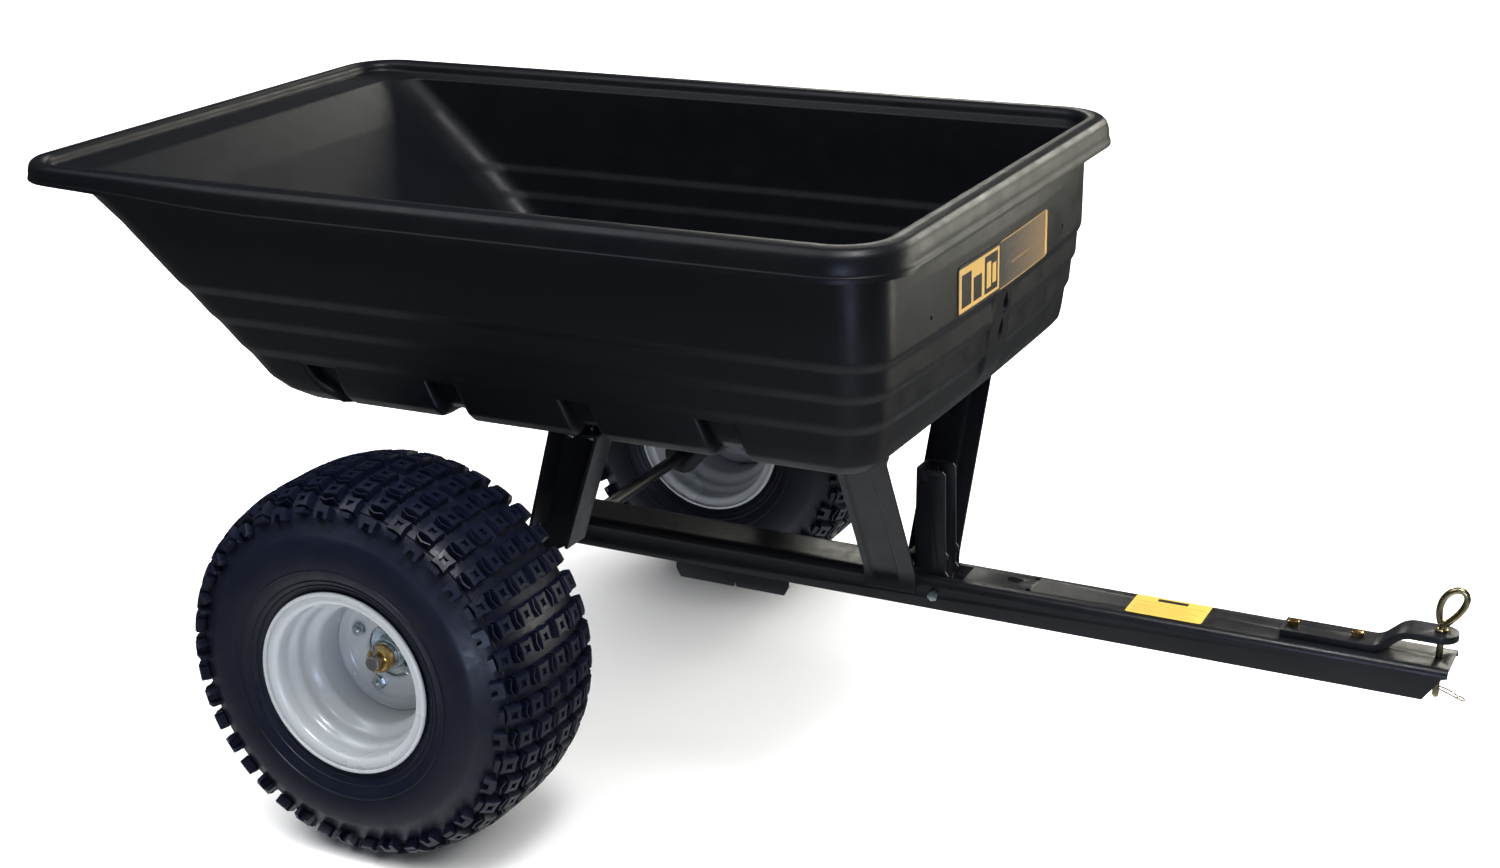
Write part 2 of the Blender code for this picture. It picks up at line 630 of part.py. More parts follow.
def make_hair_clip():
    """R-clip: a straight leg through the pin, an eye, and a wavy leg outside it."""
    eye = 0.0046
    straight = [(-0.0120, 0), (0, 0), (0.015, 0), (0.029, 0)]
    bend = [(0.0320 + eye * math.sin(a), eye * (1 - math.cos(a)) * 0.9)
            for a in [math.radians(25 * k) for k in range(1, 13)]]
    wave = [(0.0260, 0.0066), (0.0180, 0.0094), (0.0085, 0.0085), (0.0045, 0.0068),
            (-0.0010, 0.0066), (-0.0055, 0.0082), (-0.0085, 0.0105)]
    path = [(x, y, 0) for x, y in straight + bend + wave]
    mesh = tube_mesh(path, CLIP_R, 2)
    turn = Matrix.Rotation(math.radians(CLIP_DROP), 4, "Y")
    keep("hair_clip", mesh, GOLD_ZINC, hitch, Matrix.Translation((0, 0, CLIP_Z)) @ turn)


# ---- latch: a channel lever on a bolt through the tongue ----------------------------------
def make_latch_lever():
    rear = LATCH_REAR - LATCH_X
    front = LATCH_FRONT - LATCH_X
    low = TONGUE_TOP + 0.0055 - LATCH_Z
    top = LATCH_TOP - LATCH_Z
    web, cheek = rear + LATCH_T / 2, LATCH_HALF_W - LATCH_T / 2
    line = [(front + 0.01, -cheek), (web, -cheek), (web, cheek), (front + 0.01, cheek)]
    sheet = plate_mesh(folded(line, LATCH_T, 0.004), top + 0.02, LEVEL, (0, 0, top / 2 - 0.010))
    lever = keep("latch_lever", sheet, BLACK_STEEL, latch)
    # side view: tall cheeks with a bump on the free edge, and ears round the bolt
    outline = [(rear - 0.01, top), (rear - 0.01, low), (-0.0105, low - 0.006)]
    outline += arc((0, 0), LATCH_EAR_R, 180, 360, 8)
    outline += [(0.0130, low - 0.006), (front, low), (front, 0.040), (front + 0.0035, 0.044),
                (front + 0.0035, 0.049), (front, 0.053), (front - 0.003, top - 0.004), (front - 0.007, top)]
    combine(lever, [plate_mesh(outline, 0.1, SIDE)], "INTERSECT")
    hook_low = TONGUE_TOP + 0.0120 - LATCH_Z
    join(lever, box_mesh((HOOK_REAR - LATCH_X, -0.0120, hook_low), (rear + 0.0015, 0.0120, hook_low + 0.009)))
    cut(lever, drum_mesh(BOLT_R + GAP, -0.05, 0.05, 16, SIDE),
        box_mesh((-0.0310, -0.05, top - 0.022), (-0.0245, 0.05, top - 0.0155)),
        box_mesh((-0.0190, -0.05, top - 0.0145), (-0.0170, 0.05, top - 0.0085)))


def make_latch_bolt():
    half = TONGUE_W / 2 + GAP
    head = drum_mesh(NUT_R, half, half + HEAD_H, 6, SIDE)
    bolt = keep("latch_bolt", head, BLUE_ZINC, latch)
    join(bolt, drum_mesh(BOLT_R - 0.0001, -half - 0.0150, half + 0.001, 16, SIDE))
    nut = keep("latch_nut", drum_mesh(NUT_R, -half - NUT_H, -half, 6, SIDE), BLUE_ZINC, latch)
    cut(nut, drum_mesh(BOLT_R + 0.0003, -0.1, 0.1, 16, SIDE))


def make_latch_spring():
    """Torsion spring round the latch bolt, between the lever's ears."""
    coil = SPRING_COIL_R
    points = [(coil * 0.2, -0.0078, 0.0148), (coil, -0.0076, 0.006)]
    steps = 8 * SPRING_TURNS
    for i in range(steps + 1):
        a = 2 * math.pi * i / 8
        points.append((coil * math.cos(a), -0.0072 + 0.0144 * i / steps, -coil * math.sin(a)))
    points += [(coil * 1.2, 0.0074, 0.006), (coil * 1.6, 0.0076, 0.0148)]
    keep("latch_spring", tube_mesh(points, SPRING_WIRE_R, 1), BARE_STEEL, latch)


# ---- axle -------------------------------------------------------------------------------------
def make_axle():
    axle = keep("axle", drum_mesh(AXLE_R, -AXLE_END, AXLE_END, 32, SIDE, (0, 0, AXLE_Z)), BARE_STEEL, chassis)
    cut(axle, *[drum_mesh(0.0022, AXLE_Z - 0.02, AXLE_Z + 0.02, 12, LEVEL, (0, side * COTTER_Y, 0))
                for side in (1, -1)])


def ring(name, inner, outer, low, high, side, spec):
    """A washer, collar or tube round the axle between two distances from the middle."""
    profile = [(inner, side * low), (outer, side * low), (outer, side * high), (inner, side * high)]
    keep(name, turned_mesh(profile, 20, SIDE, (0, 0, AXLE_Z)), spec, chassis)


def make_axle_hardware(side):
    bore = AXLE_R + GAP
    # the turned profile's height runs along -Y, so sides are swapped here
    ring(sided("axle_collar", side), bore, COLLAR_R, COLLAR_IN, COLLAR_OUT, -side, GOLD_ZINC)
    ring(sided("axle_washer", side), bore, WASHER_R, WASHER_IN, WASHER_OUT, -side, BLUE_ZINC)
    ring(sided("axle_spacer", side), bore, SPACER_R, BRACKET_Y + BRACKET_FLANGE + 0.001,
         TYRE_Y - HUB_IN - 0.001, -side, BLACK_STEEL)
    eye = [(0.0036 * math.sin(a), 0.0185 - 0.0040 * math.cos(a)) for a in
           [math.radians(150 - 30 * k) for k in range(10)]]
    path = [(x, side * COTTER_Y, AXLE_Z + z) for x, z in
            [(0.0028, 0.0128)] + eye[1:-1] + [(0, 0.0125), (0, 0), (0, -0.0125)]]
    path += [(0.002, side * (COTTER_Y + 0.0005), AXLE_Z - 0.0160), (0.006, side * COTTER_Y, AXLE_Z - 0.0215)]
    keep(sided("cotter_pin", side), tube_mesh(path, COTTER_R, 1), BARE_STEEL, chassis)


# ---- wheels: heights run outboard from the tyre's middle plane ----------------------------------
def wheel_empty(side):
    """Empty on the axle line whose local +Z points outboard."""
    turn = math.radians(-90 if side > 0 else 90)
    return empty(sided("wheel", side), (AXLE_X, side * TYRE_Y, AXLE_Z), (turn, 0, 0))


def tyre_profile():
    outer = [(0.1045, 0.0985), (0.1180, 0.0990), (0.1300, 0.1090), (0.1600, TYRE_HALF_W),
             (0.1950, 0.1130), (0.2240, 0.1030), (0.2375, 0.0850), (AXLE_Z, 0.0400)]
    inner = [(0.2345, 0.0400), (0.2290, 0.0800), (0.2180, 0.0965), (0.1930, 0.1070), (0.1600, 0.1090),
             (0.1340, 0.1035), (0.1220, 0.0900), (0.1045, 0.0880)]
    loop = outer + [(r, -h) for r, h in outer[::-1]]
    return loop + [(r, -h) for r, h in inner[::-1]] + inner


def rim_profile():
    """Pressed rim with a drop centre; the disc is a separate pressing inside it."""
    half = [(RIM_R - 0.0012, FLANGE_Y + 0.0005), (SEAT_R, FLANGE_Y), (SEAT_R, 0.0790),
            (SEAT_R - 0.0075, 0.0700), (SEAT_R - 0.0085, 0.0580), (WELL_R, 0.0420)]
    return folded(half + [(r, -h) for r, h in half[::-1]], RIM_T, 0)


def lug_places():
    return [(LUG_CIRCLE_R * math.cos(a), LUG_CIRCLE_R * math.sin(a))
            for a in [math.radians(LUG_TURN + 90 * k) for k in range(4)]]


def flange_outline():
    """Four-lobed hub flange: wide at the lug bolts, narrow between them."""
    points = []
    for k in range(40):
        a = 2 * math.pi * (k + 0.37) / 40
        lobe = 0.5 + 0.5 * math.cos(4 * (a - math.radians(LUG_TURN)))
        radius = 0.0310 + 0.0300 * lobe ** 1.6
        points.append((radius * math.cos(a), radius * math.sin(a)))
    return points


def make_wheel(side):
    hub_space = wheel_empty(side)

    def named(base):
        return sided(base, side)

    keep(named("tyre"), turned_mesh(tyre_profile(), 32), RUBBER, hub_space)
    rim = keep(named("rim"), turned_mesh(rim_profile(), WHEEL_STEPS), SILVER_PAINT, hub_space)
    disc_edge = WELL_R - RIM_T / 2 - GAP
    disc_loop = [(DISC_HOLE_R, -DISC_T / 2), (disc_edge, -DISC_T / 2), (disc_edge, DISC_T / 2),
                 (DISC_HOLE_R, DISC_T / 2)]
    disc = keep(named("wheel_disc"), turned_mesh(disc_loop, WHEEL_STEPS), SILVER_PAINT, hub_space)
    cut(disc, *[drum_mesh(BOLT_HOLE_R, -0.01, 0.01, 10, LEVEL, (x, y, 0)) for x, y in lug_places()])
    turn, tip = math.radians(VALVE_TURN), math.radians(VALVE_LEAN)
    seat = Matrix.Rotation(turn, 4, "Z") @ Matrix.Translation((0.0830, 0, 0.0500))
    lean = seat @ Matrix.Rotation(tip, 4, "Y")
    cut(rim, drum_mesh(0.0046, -0.012, 0.012, 12, lean))
    stem = [(0.0, -0.0085), (0.0062, -0.0085), (0.0062, -0.0045), (0.0042, -0.0035),
            (0.0042, 0.0230), (0.0, 0.0230)]
    keep(named("valve_stem"), turned_mesh(stem, 10), NYLON, hub_space, lean)

    hub = keep(named("hub"), drum_mesh(HUB_R, -HUB_IN, HUB_OUT, 24), BLUE_ZINC, hub_space)
    join(hub, plate_mesh(flange_outline(), 0.0040, LEVEL, (0, 0, -0.0040)))
    cut(hub, drum_mesh(HUB_BORE, -HUB_IN - 0.01, HUB_OUT + 0.01, 24),
        *[drum_mesh(BOLT_HOLE_R, -0.01, 0.01, 10, LEVEL, (x, y, 0)) for x, y in lug_places()])
    for where, low, high in (("outer", HUB_OUT - BUSH_L, HUB_OUT), ("inner", -HUB_IN, -HUB_IN + BUSH_L)):
        bush = [(AXLE_R + GAP, high), (HUB_BORE - GAP, high), (HUB_BORE - GAP, low), (AXLE_R + GAP, low)]
        keep(named("hub_bush_" + where), turned_mesh(bush, 16), NYLON, hub_space)
    for number, (x, y) in enumerate(lug_places(), start=1):
        head = drum_mesh(NUT_R, -0.0118, -0.0064, 6)
        bolt = keep(named("lug_bolt_%d" % number), head, BLUE_ZINC, hub_space, Matrix.Translation((x, y, 0)))
        join(bolt, drum_mesh(BOLT_R, -0.0100, 0.0125, 10), drum_mesh(0.0080, 0.0020, 0.0088, 6))


# ---- the cart ----------------------------------------------------------------------------------------
make_tub()
make_front_label()
make_bed_bolts()
make_saddle()
make_tongue()
make_splice()
make_tongue_label()
make_strap()
make_hitch_bolts()
make_hitch_pin()
make_hair_clip()
make_latch_lever()
make_latch_bolt()
make_latch_spring()
make_axle()
for which in (1, -1):
    make_bracket(which)
    make_arm(which)
    make_axle_hardware(which)
    make_wheel(which)
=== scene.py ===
import math

import bmesh
import bpy
from mathutils import Matrix, Quaternion, Vector


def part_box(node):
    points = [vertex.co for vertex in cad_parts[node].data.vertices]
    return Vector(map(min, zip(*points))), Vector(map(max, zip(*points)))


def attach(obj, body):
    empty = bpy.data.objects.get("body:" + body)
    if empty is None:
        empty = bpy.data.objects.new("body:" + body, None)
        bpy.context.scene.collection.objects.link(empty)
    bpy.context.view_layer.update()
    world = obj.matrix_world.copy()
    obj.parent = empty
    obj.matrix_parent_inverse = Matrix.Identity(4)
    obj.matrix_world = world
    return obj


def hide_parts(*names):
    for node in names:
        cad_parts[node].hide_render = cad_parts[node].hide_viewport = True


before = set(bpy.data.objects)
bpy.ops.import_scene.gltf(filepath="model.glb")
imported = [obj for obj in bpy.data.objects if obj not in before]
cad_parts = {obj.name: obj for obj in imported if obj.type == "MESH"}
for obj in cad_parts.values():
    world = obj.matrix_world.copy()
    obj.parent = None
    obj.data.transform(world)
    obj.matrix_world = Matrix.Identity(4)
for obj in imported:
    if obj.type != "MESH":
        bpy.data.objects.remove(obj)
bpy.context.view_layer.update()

# Looks for the tow-behind dump cart, in metres: each fine piece stands for a CAD node.
# The bed rests tipped by this many degrees, nose up.
BED_NOSE_UP = 0.88
WALL_T = 0.005


def middle(node):
    low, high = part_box(node)
    return (low + high) / 2


SIGN = {"left": 1, "right": -1}
AXLE = middle("axle")
CART = Matrix.Translation((AXLE.x, 0, 0))
BED = Matrix.Translation(AXLE) @ Matrix.Rotation(math.radians(-BED_NOSE_UP), 4, "Y")
LATCH = Matrix.Translation((middle("latch_bolt").x, 0, middle("latch_bolt").z))
TONGUE_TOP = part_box("tongue")[1].z
PIN_X = 1.176
HITCH = Matrix.Translation((AXLE.x + PIN_X, 0, TONGUE_TOP))
WHEEL = {s: Matrix.Translation((AXLE.x, middle("tyre_" + s).y, AXLE.z)) @
         Matrix.Rotation(math.radians(-90 * way), 4, "X") for s, way in SIGN.items()}

# drawing planes: flat, upright along the cart, upright across it
LEVEL = Matrix.Identity(4)
SIDE = Matrix(((1, 0, 0, 0), (0, 0, -1, 0), (0, 1, 0, 0), (0, 0, 0, 1)))
FACE = Matrix(((0, 0, 1, 0), (1, 0, 0, 0), (0, 1, 0, 0), (0, 0, 0, 1)))


# ---- materials ----
class Nodes:
    """A material's node tree, built step by step in object space (metres)."""

    def __init__(self, name, **sockets):
        self.material = bpy.data.materials.new(name)
        self.material.use_nodes = True
        self.tree = self.material.node_tree
        self.shader = self.tree.nodes["Principled BSDF"]
        for socket, value in sockets.items():
            self.shader.inputs[socket.replace("_", " ")].default_value = value
        self.place = self.tree.nodes.new("ShaderNodeTexCoord").outputs["Object"]

    def add(self, kind, inputs=(), **settings):
        node = self.tree.nodes.new("ShaderNode" + kind)
        for key, value in settings.items():
            setattr(node, key, value)
        for key, value in dict(inputs).items():
            if hasattr(value, "links"):
                self.tree.links.new(value, node.inputs[key])
            else:
                node.inputs[key].default_value = value
        return node

    def link(self, output, socket):
        self.tree.links.new(output, self.shader.inputs[socket])

    def noise(self, scale, detail=2.0, roughness=0.5):
        return self.add("TexNoise", {"Vector": self.place, "Scale": scale, "Detail": detail,
                                     "Roughness": roughness}).outputs["Fac"]

    def ramp(self, value, *stops):
        node = self.add("ValToRGB", {"Fac": value})
        band = node.color_ramp
        while len(band.elements) < len(stops):
            band.elements.new(0.5)
        for element, (where, colour) in zip(band.elements, stops):
            element.position = where
            element.color = (*colour, 1) if len(colour) == 3 else (colour[0],) * 3 + (1,)
        return node.outputs["Color"]

    def span(self, value, low, high, start=0.0, end=1.0):
        return self.add("MapRange", {"Value": value, "From Min": start, "From Max": end,
                                     "To Min": low, "To Max": high}).outputs["Result"]

    def mix(self, share, first, second):
        colours = {key: value if hasattr(value, "links") else (*value, 1)
                   for key, value in ((6, first), (7, second))}
        return self.add("Mix", {0: share, **colours}, data_type="RGBA").outputs[2]

    def math(self, operation, first, second):
        return self.add("Math", {0: first, 1: second}, operation=operation).outputs[0]

    def bump(self, height, strength, distance=0.0004):
        node = self.add("Bump", {"Height": height, "Strength": strength, "Distance": distance})
        self.link(node.outputs["Normal"], "Normal")


def finish(slot, name, tone, colours, rough, grain, **sockets):
    """A material whose colour, roughness and relief each follow a noise, with its slot's name.

    tone, rough and grain are the noise's own settings, then what is made of it: the two
    stops of the colours, the lowest and highest roughness, the relief's strength and depth.
    """
    m = Nodes(name, **sockets)
    *pattern, start, end = tone
    m.link(m.ramp(m.noise(*pattern), (start, colours[0]), (end, colours[1])), "Base Color")
    *pattern, low, high = rough
    m.link(m.span(m.noise(*pattern), low, high, 0.3, 0.7), "Roughness")
    *pattern, strength, depth = grain
    relief = m.noise(*pattern)
    if slot == "poly_tub":
        relief = m.math("ADD", m.math("MULTIPLY", relief, 0.6), m.noise(140))
    m.bump(relief, strength, depth)
    return m.material, slot


def plated(slot, name, dark, light, low, high):
    """Zinc or bare steel: a metal with fine cloudy variation."""
    return finish(slot, name, (60, 2.0, 0.5, 0.32, 0.68), (dark, light), (90, 2.0, 0.5, low, high),
                  (900, 0.05, 0.0002), Metallic=1.0)


def panel_mask(m, along, up, box):
    """1 inside a rectangle of the label's own 0 to 1 coordinates, with crisp edges."""
    result = None
    for value, low, high in ((along, box[0], box[1]), (up, box[2], box[3])):
        inside = m.math("MULTIPLY", m.math("GREATER_THAN", value, low), m.math("LESS_THAN", value, high))
        result = inside if result is None else m.math("MULTIPLY", result, inside)
    return result


def label_finish(name, base, shapes, fade=None, axes=("Y", "Z")):
    """Printed vinyl with plain blocks: shapes are (box, colour) in 0 to 1 coordinates."""
    m = Nodes(name, Specular_IOR_Level=0.5)
    whole = m.add("TexCoord").outputs["Generated"]
    split = m.add("SeparateXYZ", {"Vector": whole})
    along, up = (split.outputs[a] for a in axes)
    grain = m.noise(90, 4.0, 0.6)
    colour = m.mix(grain, base, tuple(0.86 * c for c in base))
    if fade:
        start, end, far = fade
        colour = m.mix(m.span(along, 0.0, 1.0, start, end), colour, far)
    for box, ink in shapes:
        colour = m.mix(panel_mask(m, along, up, box), colour, ink)
    m.link(colour, "Base Color")
    m.link(m.span(m.noise(150, 3.0), 0.28, 0.42, 0.3, 0.7), "Roughness")
    m.bump(m.noise(400, 2.0), 0.08, 0.0002)
    return m.material, "label_face"


POLY = finish("poly_tub", "moulded_polyethylene", (3.5, 3.0, 0.3, 0.7),
              ((0.0016, 0.0021, 0.0036), (0.0026, 0.0029, 0.0038)), (26, 4.0, 0.6, 0.33, 0.47),
              (950, 0.35, 0.0003), Specular_IOR_Level=0.34)
STEEL = finish("black_steel", "black_powder_coat", (9, 3.0, 0.3, 0.7),
               ((0.0034, 0.0038, 0.0052), (0.0051, 0.0057, 0.0078)), (60, 4.0, 0.6, 0.30, 0.44),
               (1300, 3.0, 0.30, 0.0002), Specular_IOR_Level=0.42)
RUBBER = finish("tyre_rubber", "tyre_rubber", (18, 5.0, 0.62, 0.35, 0.72),
                ((0.0020, 0.0032, 0.0105), (0.0040, 0.0052, 0.0125)), (55, 4.0, 0.6, 0.30, 0.48),
                (700, 3.0, 0.25, 0.0003), Specular_IOR_Level=0.46)
PAINT = finish("silver_paint", "silver_enamel", (5, 0.3, 0.7), ((0.37, 0.39, 0.41), (0.41, 0.43, 0.45)),
               (8, 0.24, 0.29), (500, 0.04, 0.0002), Metallic=0.25, Specular_IOR_Level=0.5)
ZINC = plated("clear_zinc", "clear_zinc", (0.48, 0.56, 0.58), (0.70, 0.76, 0.76), 0.20, 0.34)
GOLD = plated("yellow_zinc", "yellow_zinc", (0.62, 0.34, 0.08), (0.86, 0.62, 0.24), 0.16, 0.30)
PIN_GOLD = plated("yellow_zinc", "pale_yellow_zinc", (0.40, 0.32, 0.16), (0.66, 0.56, 0.34), 0.18, 0.30)
BARE = plated("bare_steel", "bare_steel", (0.42, 0.40, 0.37), (0.58, 0.55, 0.50), 0.28, 0.42)
NYLON = finish("black_nylon", "black_nylon", (200, 3.0, 0.3, 0.7),
               ((0.010, 0.010, 0.011), (0.016, 0.016, 0.017)), (300, 3.0, 0.42, 0.55),
               (900, 0.2, 0.0002), Specular_IOR_Level=0.4)

BLACK_INK, DARK_VINYL = (0.006, 0.006, 0.007), (0.028, 0.027, 0.022)
GOLD_INK, EDGE_GOLD, DULL_GOLD = (0.42, 0.255, 0.055), (0.42, 0.25, 0.05), (0.24, 0.15, 0.05)
TEXT_BROWN = (0.30, 0.18, 0.03)
FRONT_LABEL = label_finish(
    "front_label_print", DARK_VINYL,
    [((0.0, 0.43, 0.0, 1.0), BLACK_INK), ((0.012, 0.418, 0.06, 0.94), GOLD_INK),
     ((0.035, 0.13, 0.14, 0.80), BLACK_INK), ((0.150, 0.235, 0.14, 0.62), BLACK_INK),
     ((0.262, 0.400, 0.12, 0.88), BLACK_INK), ((0.285, 0.330, 0.22, 0.74), GOLD_INK),
     ((0.345, 0.385, 0.26, 0.66), GOLD_INK), ((0.56, 0.80, 0.40, 0.44), (0.16, 0.09, 0.03)),
     ((0.975, 1.0, 0.0, 1.0), EDGE_GOLD), ((0.43, 1.0, 0.0, 0.03), DULL_GOLD),
     ((0.43, 1.0, 0.97, 1.0), DULL_GOLD)],
    fade=(0.45, 1.0, (0.15, 0.095, 0.045)))
TONGUE_LABEL = label_finish(
    "tongue_label_print", (0.52, 0.36, 0.055),
    [((0.04, 0.96, 0.66, 0.70), (0.35, 0.22, 0.03)), ((0.30, 0.70, 0.78, 0.92), BLACK_INK)] +
    [((0.06, 0.90 - 0.07 * (k % 3), 0.10 + 0.085 * k, 0.125 + 0.085 * k), TEXT_BROWN) for k in range(6)],
    axes=("X", "Y"))


# ---- mesh helpers ----
def linked(name, data):
    """A new object with this data, in the scene."""
    thing = bpy.data.objects.new(name, data)
    bpy.context.scene.collection.objects.link(thing)
    return thing


def show(name, mesh, look, body, nodes, place=LEVEL, angle=32, bevel=0.0, segments=2):
    """Puts a mesh in the cart: bakes its place in, smooths it and rides it on a body."""
    material, slot = look
    mesh.transform(place)
    mesh.materials.clear()
    mesh.materials.append(material)
    piece = linked(name, mesh)
    mesh.shade_smooth()
    mesh.set_sharp_from_angle(angle=math.radians(angle))
    if bevel:
        step = piece.modifiers.new("edges", "BEVEL")
        step.width, step.segments, step.limit_method = bevel, segments, "ANGLE"
        step.angle_limit = math.radians(30)
        bake(piece)
        piece.data.shade_smooth()
        piece.data.set_sharp_from_angle(angle=math.radians(angle))
    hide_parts(*nodes)
    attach(piece, body)


def bake(piece):
    """Replaces a piece's mesh with what its modifiers make of it."""
    bpy.context.view_layer.update()
    graph = bpy.context.evaluated_depsgraph_get()
    piece.data = bpy.data.meshes.new_from_object(piece.evaluated_get(graph))
    piece.modifiers.clear()


def taken(piece):
    """A helper object's mesh, with the object itself removed."""
    mesh = piece.data
    bpy.data.objects.remove(piece)
    return mesh


def cut(mesh, *tools, operation="DIFFERENCE"):
    """Boolean of one mesh with others, all in the same space; the tools go."""
    body = linked("body", mesh)
    helpers = [linked("tool", tool) for tool in tools]
    for helper in helpers:
        step = body.modifiers.new("cut", "BOOLEAN")
        step.operation, step.object, step.solver = operation, helper, "EXACT"
    bake(body)
    for helper in helpers:
        bpy.data.objects.remove(helper)
    return taken(body)


def cleaned(work):
    bmesh.ops.remove_doubles(work, verts=work.verts, dist=1e-6)
    bmesh.ops.recalc_face_normals(work, faces=work.faces)
    mesh = bpy.data.meshes.new("mesh")
    work.to_mesh(mesh)
    work.free()
    return mesh


def joined(*meshes):
    work = bmesh.new()
    for mesh in meshes:
        work.from_mesh(mesh)
    mesh = bpy.data.meshes.new("mesh")
    work.to_mesh(mesh)
    work.free()
    return mesh


def slab(inner, outer):
    """A closed sheet between two grids of points, walled round its edge."""
    work = bmesh.new()
    low, high = [[[work.verts.new(p) for p in row] for row in grid] for grid in (inner, outer)]
    rows, columns = len(inner), len(inner[0])
    for layer in (low, high):
        for i in range(rows - 1):
            for j in range(columns - 1):
                work.faces.new((layer[i][j], layer[i + 1][j], layer[i + 1][j + 1], layer[i][j + 1]))
    for i in range(rows - 1):
        for j in (0, columns - 1):
            work.faces.new((low[i][j], low[i + 1][j], high[i + 1][j], high[i][j]))
    for j in range(columns - 1):
        for i in (0, rows - 1):
            work.faces.new((low[i][j], low[i][j + 1], high[i][j + 1], high[i][j]))
    return cleaned(work)


def plate(outline, thickness, turn=LEVEL, middle_at=(0, 0, 0)):
    """A flat outline given half its thickness each way, as two n-gons and a wall."""
    work = bmesh.new()
    low = [work.verts.new((u, v, -thickness / 2)) for u, v in outline]
    high = [work.verts.new((u, v, thickness / 2)) for u, v in outline]
    work.faces.new(low[::-1])
    work.faces.new(high)
    for i in range(len(outline)):
        j = (i + 1) % len(outline)
        work.faces.new((low[i], low[j], high[j], high[i]))
    mesh = cleaned(work)
    mesh.transform(Matrix.Translation(middle_at) @ turn)
    return mesh


def lathe(profile, steps=96, turn=LEVEL, middle_at=(0, 0, 0), closed=None):
    """A (radius, height) line swept round Z; closed loops make rings."""
    closed = profile[0][0] > 1e-7 if closed is None else closed
    work = bmesh.new()
    rings = []
    for r, h in profile:
        if r < 1e-7:
            rings.append([work.verts.new((0, 0, h))])
        else:
            rings.append([work.verts.new((r * math.cos(2 * math.pi * k / steps),
                                          r * math.sin(2 * math.pi * k / steps), h)) for k in range(steps)])
    pairs = list(zip(rings, rings[1:])) + ([(rings[-1], rings[0])] if closed else [])
    for a, b in pairs:
        for k in range(steps):
            j = (k + 1) % steps
            corners = [a[k % len(a)], a[j % len(a)], b[j % len(b)], b[k % len(b)]]
            distinct = list(dict.fromkeys(corners))
            if len(distinct) > 2:
                work.faces.new(distinct)
    mesh = cleaned(work)
    mesh.transform(Matrix.Translation(middle_at) @ turn)
    return mesh


def drum(radius, low, high, steps=48, turn=LEVEL, middle_at=(0, 0, 0), edge=0.0, spin=0.0):
    """A round or hexagonal bar, with chamfered ends where edge is given."""
    profile = [(0, low), (radius, low), (radius, high), (0, high)]
    if edge:
        inside = radius - edge
        profile[1:3] = [(inside, low), (radius, low + edge), (radius, high - edge), (inside, high)]
    return lathe(profile, steps, turn @ Matrix.Rotation(spin, 4, "Z"), middle_at, closed=False)


def holes(radius, low, high, spots, steps=24):
    """Upright drills for a row of holes."""
    return [drum(radius, low, high, steps, LEVEL, (x, y, 0)) for x, y in spots]


def ring_section(inner, outer, low, high):
    return [(inner, low), (outer, low), (outer, high), (inner, high)]


def block(low, high):
    outline = [(low[0], low[1]), (high[0], low[1]), (high[0], high[1]), (low[0], high[1])]
    return plate(outline, high[2] - low[2], LEVEL, (0, 0, (low[2] + high[2]) / 2))


def arc(centre, radius, start, end, steps):
    return [(centre[0] + radius * math.cos(math.radians(start + (end - start) * i / steps)),
             centre[1] + radius * math.sin(math.radians(start + (end - start) * i / steps)))
            for i in range(steps + 1)]


def blended(points, radius, steps=6, closed=True):
    """Rounds the corners of a line in any number of dimensions with quadratic blends."""
    result, count = [], len(points)
    for i, corner in enumerate(points):
        if not closed and i in (0, count - 1):
            result.append(tuple(corner))
            continue
        before = [a - b for a, b in zip(points[i - 1], corner)]
        after = [a - b for a, b in zip(points[(i + 1) % count], corner)]
        reach = []
        for way in (before, after):
            length = math.sqrt(sum(c * c for c in way)) or 1e-9
            reach.append(min(radius / length, 0.48))
        start = [c + reach[0] * w for c, w in zip(corner, before)]
        end = [c + reach[1] * w for c, w in zip(corner, after)]
        for k in range(steps + 1):
            t = k / steps
            result.append(tuple(s * (1 - t) ** 2 + c * 2 * t * (1 - t) + e * t * t
                                for s, c, e in zip(start, corner, end)))
    return result


def folded(points, thickness, radius, steps=8):
    """Outline of a sheet that follows a bent centre line."""
    line = [Vector(p) for p in (blended(points, radius, steps, closed=False) if radius else points)]
    left, right = [], []
    for i, spot in enumerate(line):
        ahead = line[min(i + 1, len(line) - 1)] - spot
        behind = spot - line[max(i - 1, 0)]
        way = ahead.normalized() + behind.normalized()
        way.normalize()
        side = Vector((-way.y, way.x))
        along = ahead if ahead.length else behind
        stretch = 1 / max(0.5, abs(along.normalized().dot(way)))
        left.append(spot + side * thickness / 2 * stretch)
        right.append(spot - side * thickness / 2 * stretch)
    return [tuple(p) for p in left + right[::-1]]


def curved(points, count):
    """Points on a Catmull-Rom curve through the given ones."""
    p = [Vector(points[0]) * 2 - Vector(points[1])] + [Vector(q) for q in points]
    p.append(p[-1] * 2 - p[-2])
    result = []
    for i in range(1, len(p) - 2):
        for k in range(count):
            t = k / count
            result.append(0.5 * ((2 * p[i]) + (p[i + 1] - p[i - 1]) * t +
                                 (2 * p[i - 1] - 5 * p[i] + 4 * p[i + 1] - p[i + 2]) * t * t +
                                 (3 * p[i] - p[i - 1] - 3 * p[i + 1] + p[i + 2]) * t ** 3))
    return result + [p[-2]]


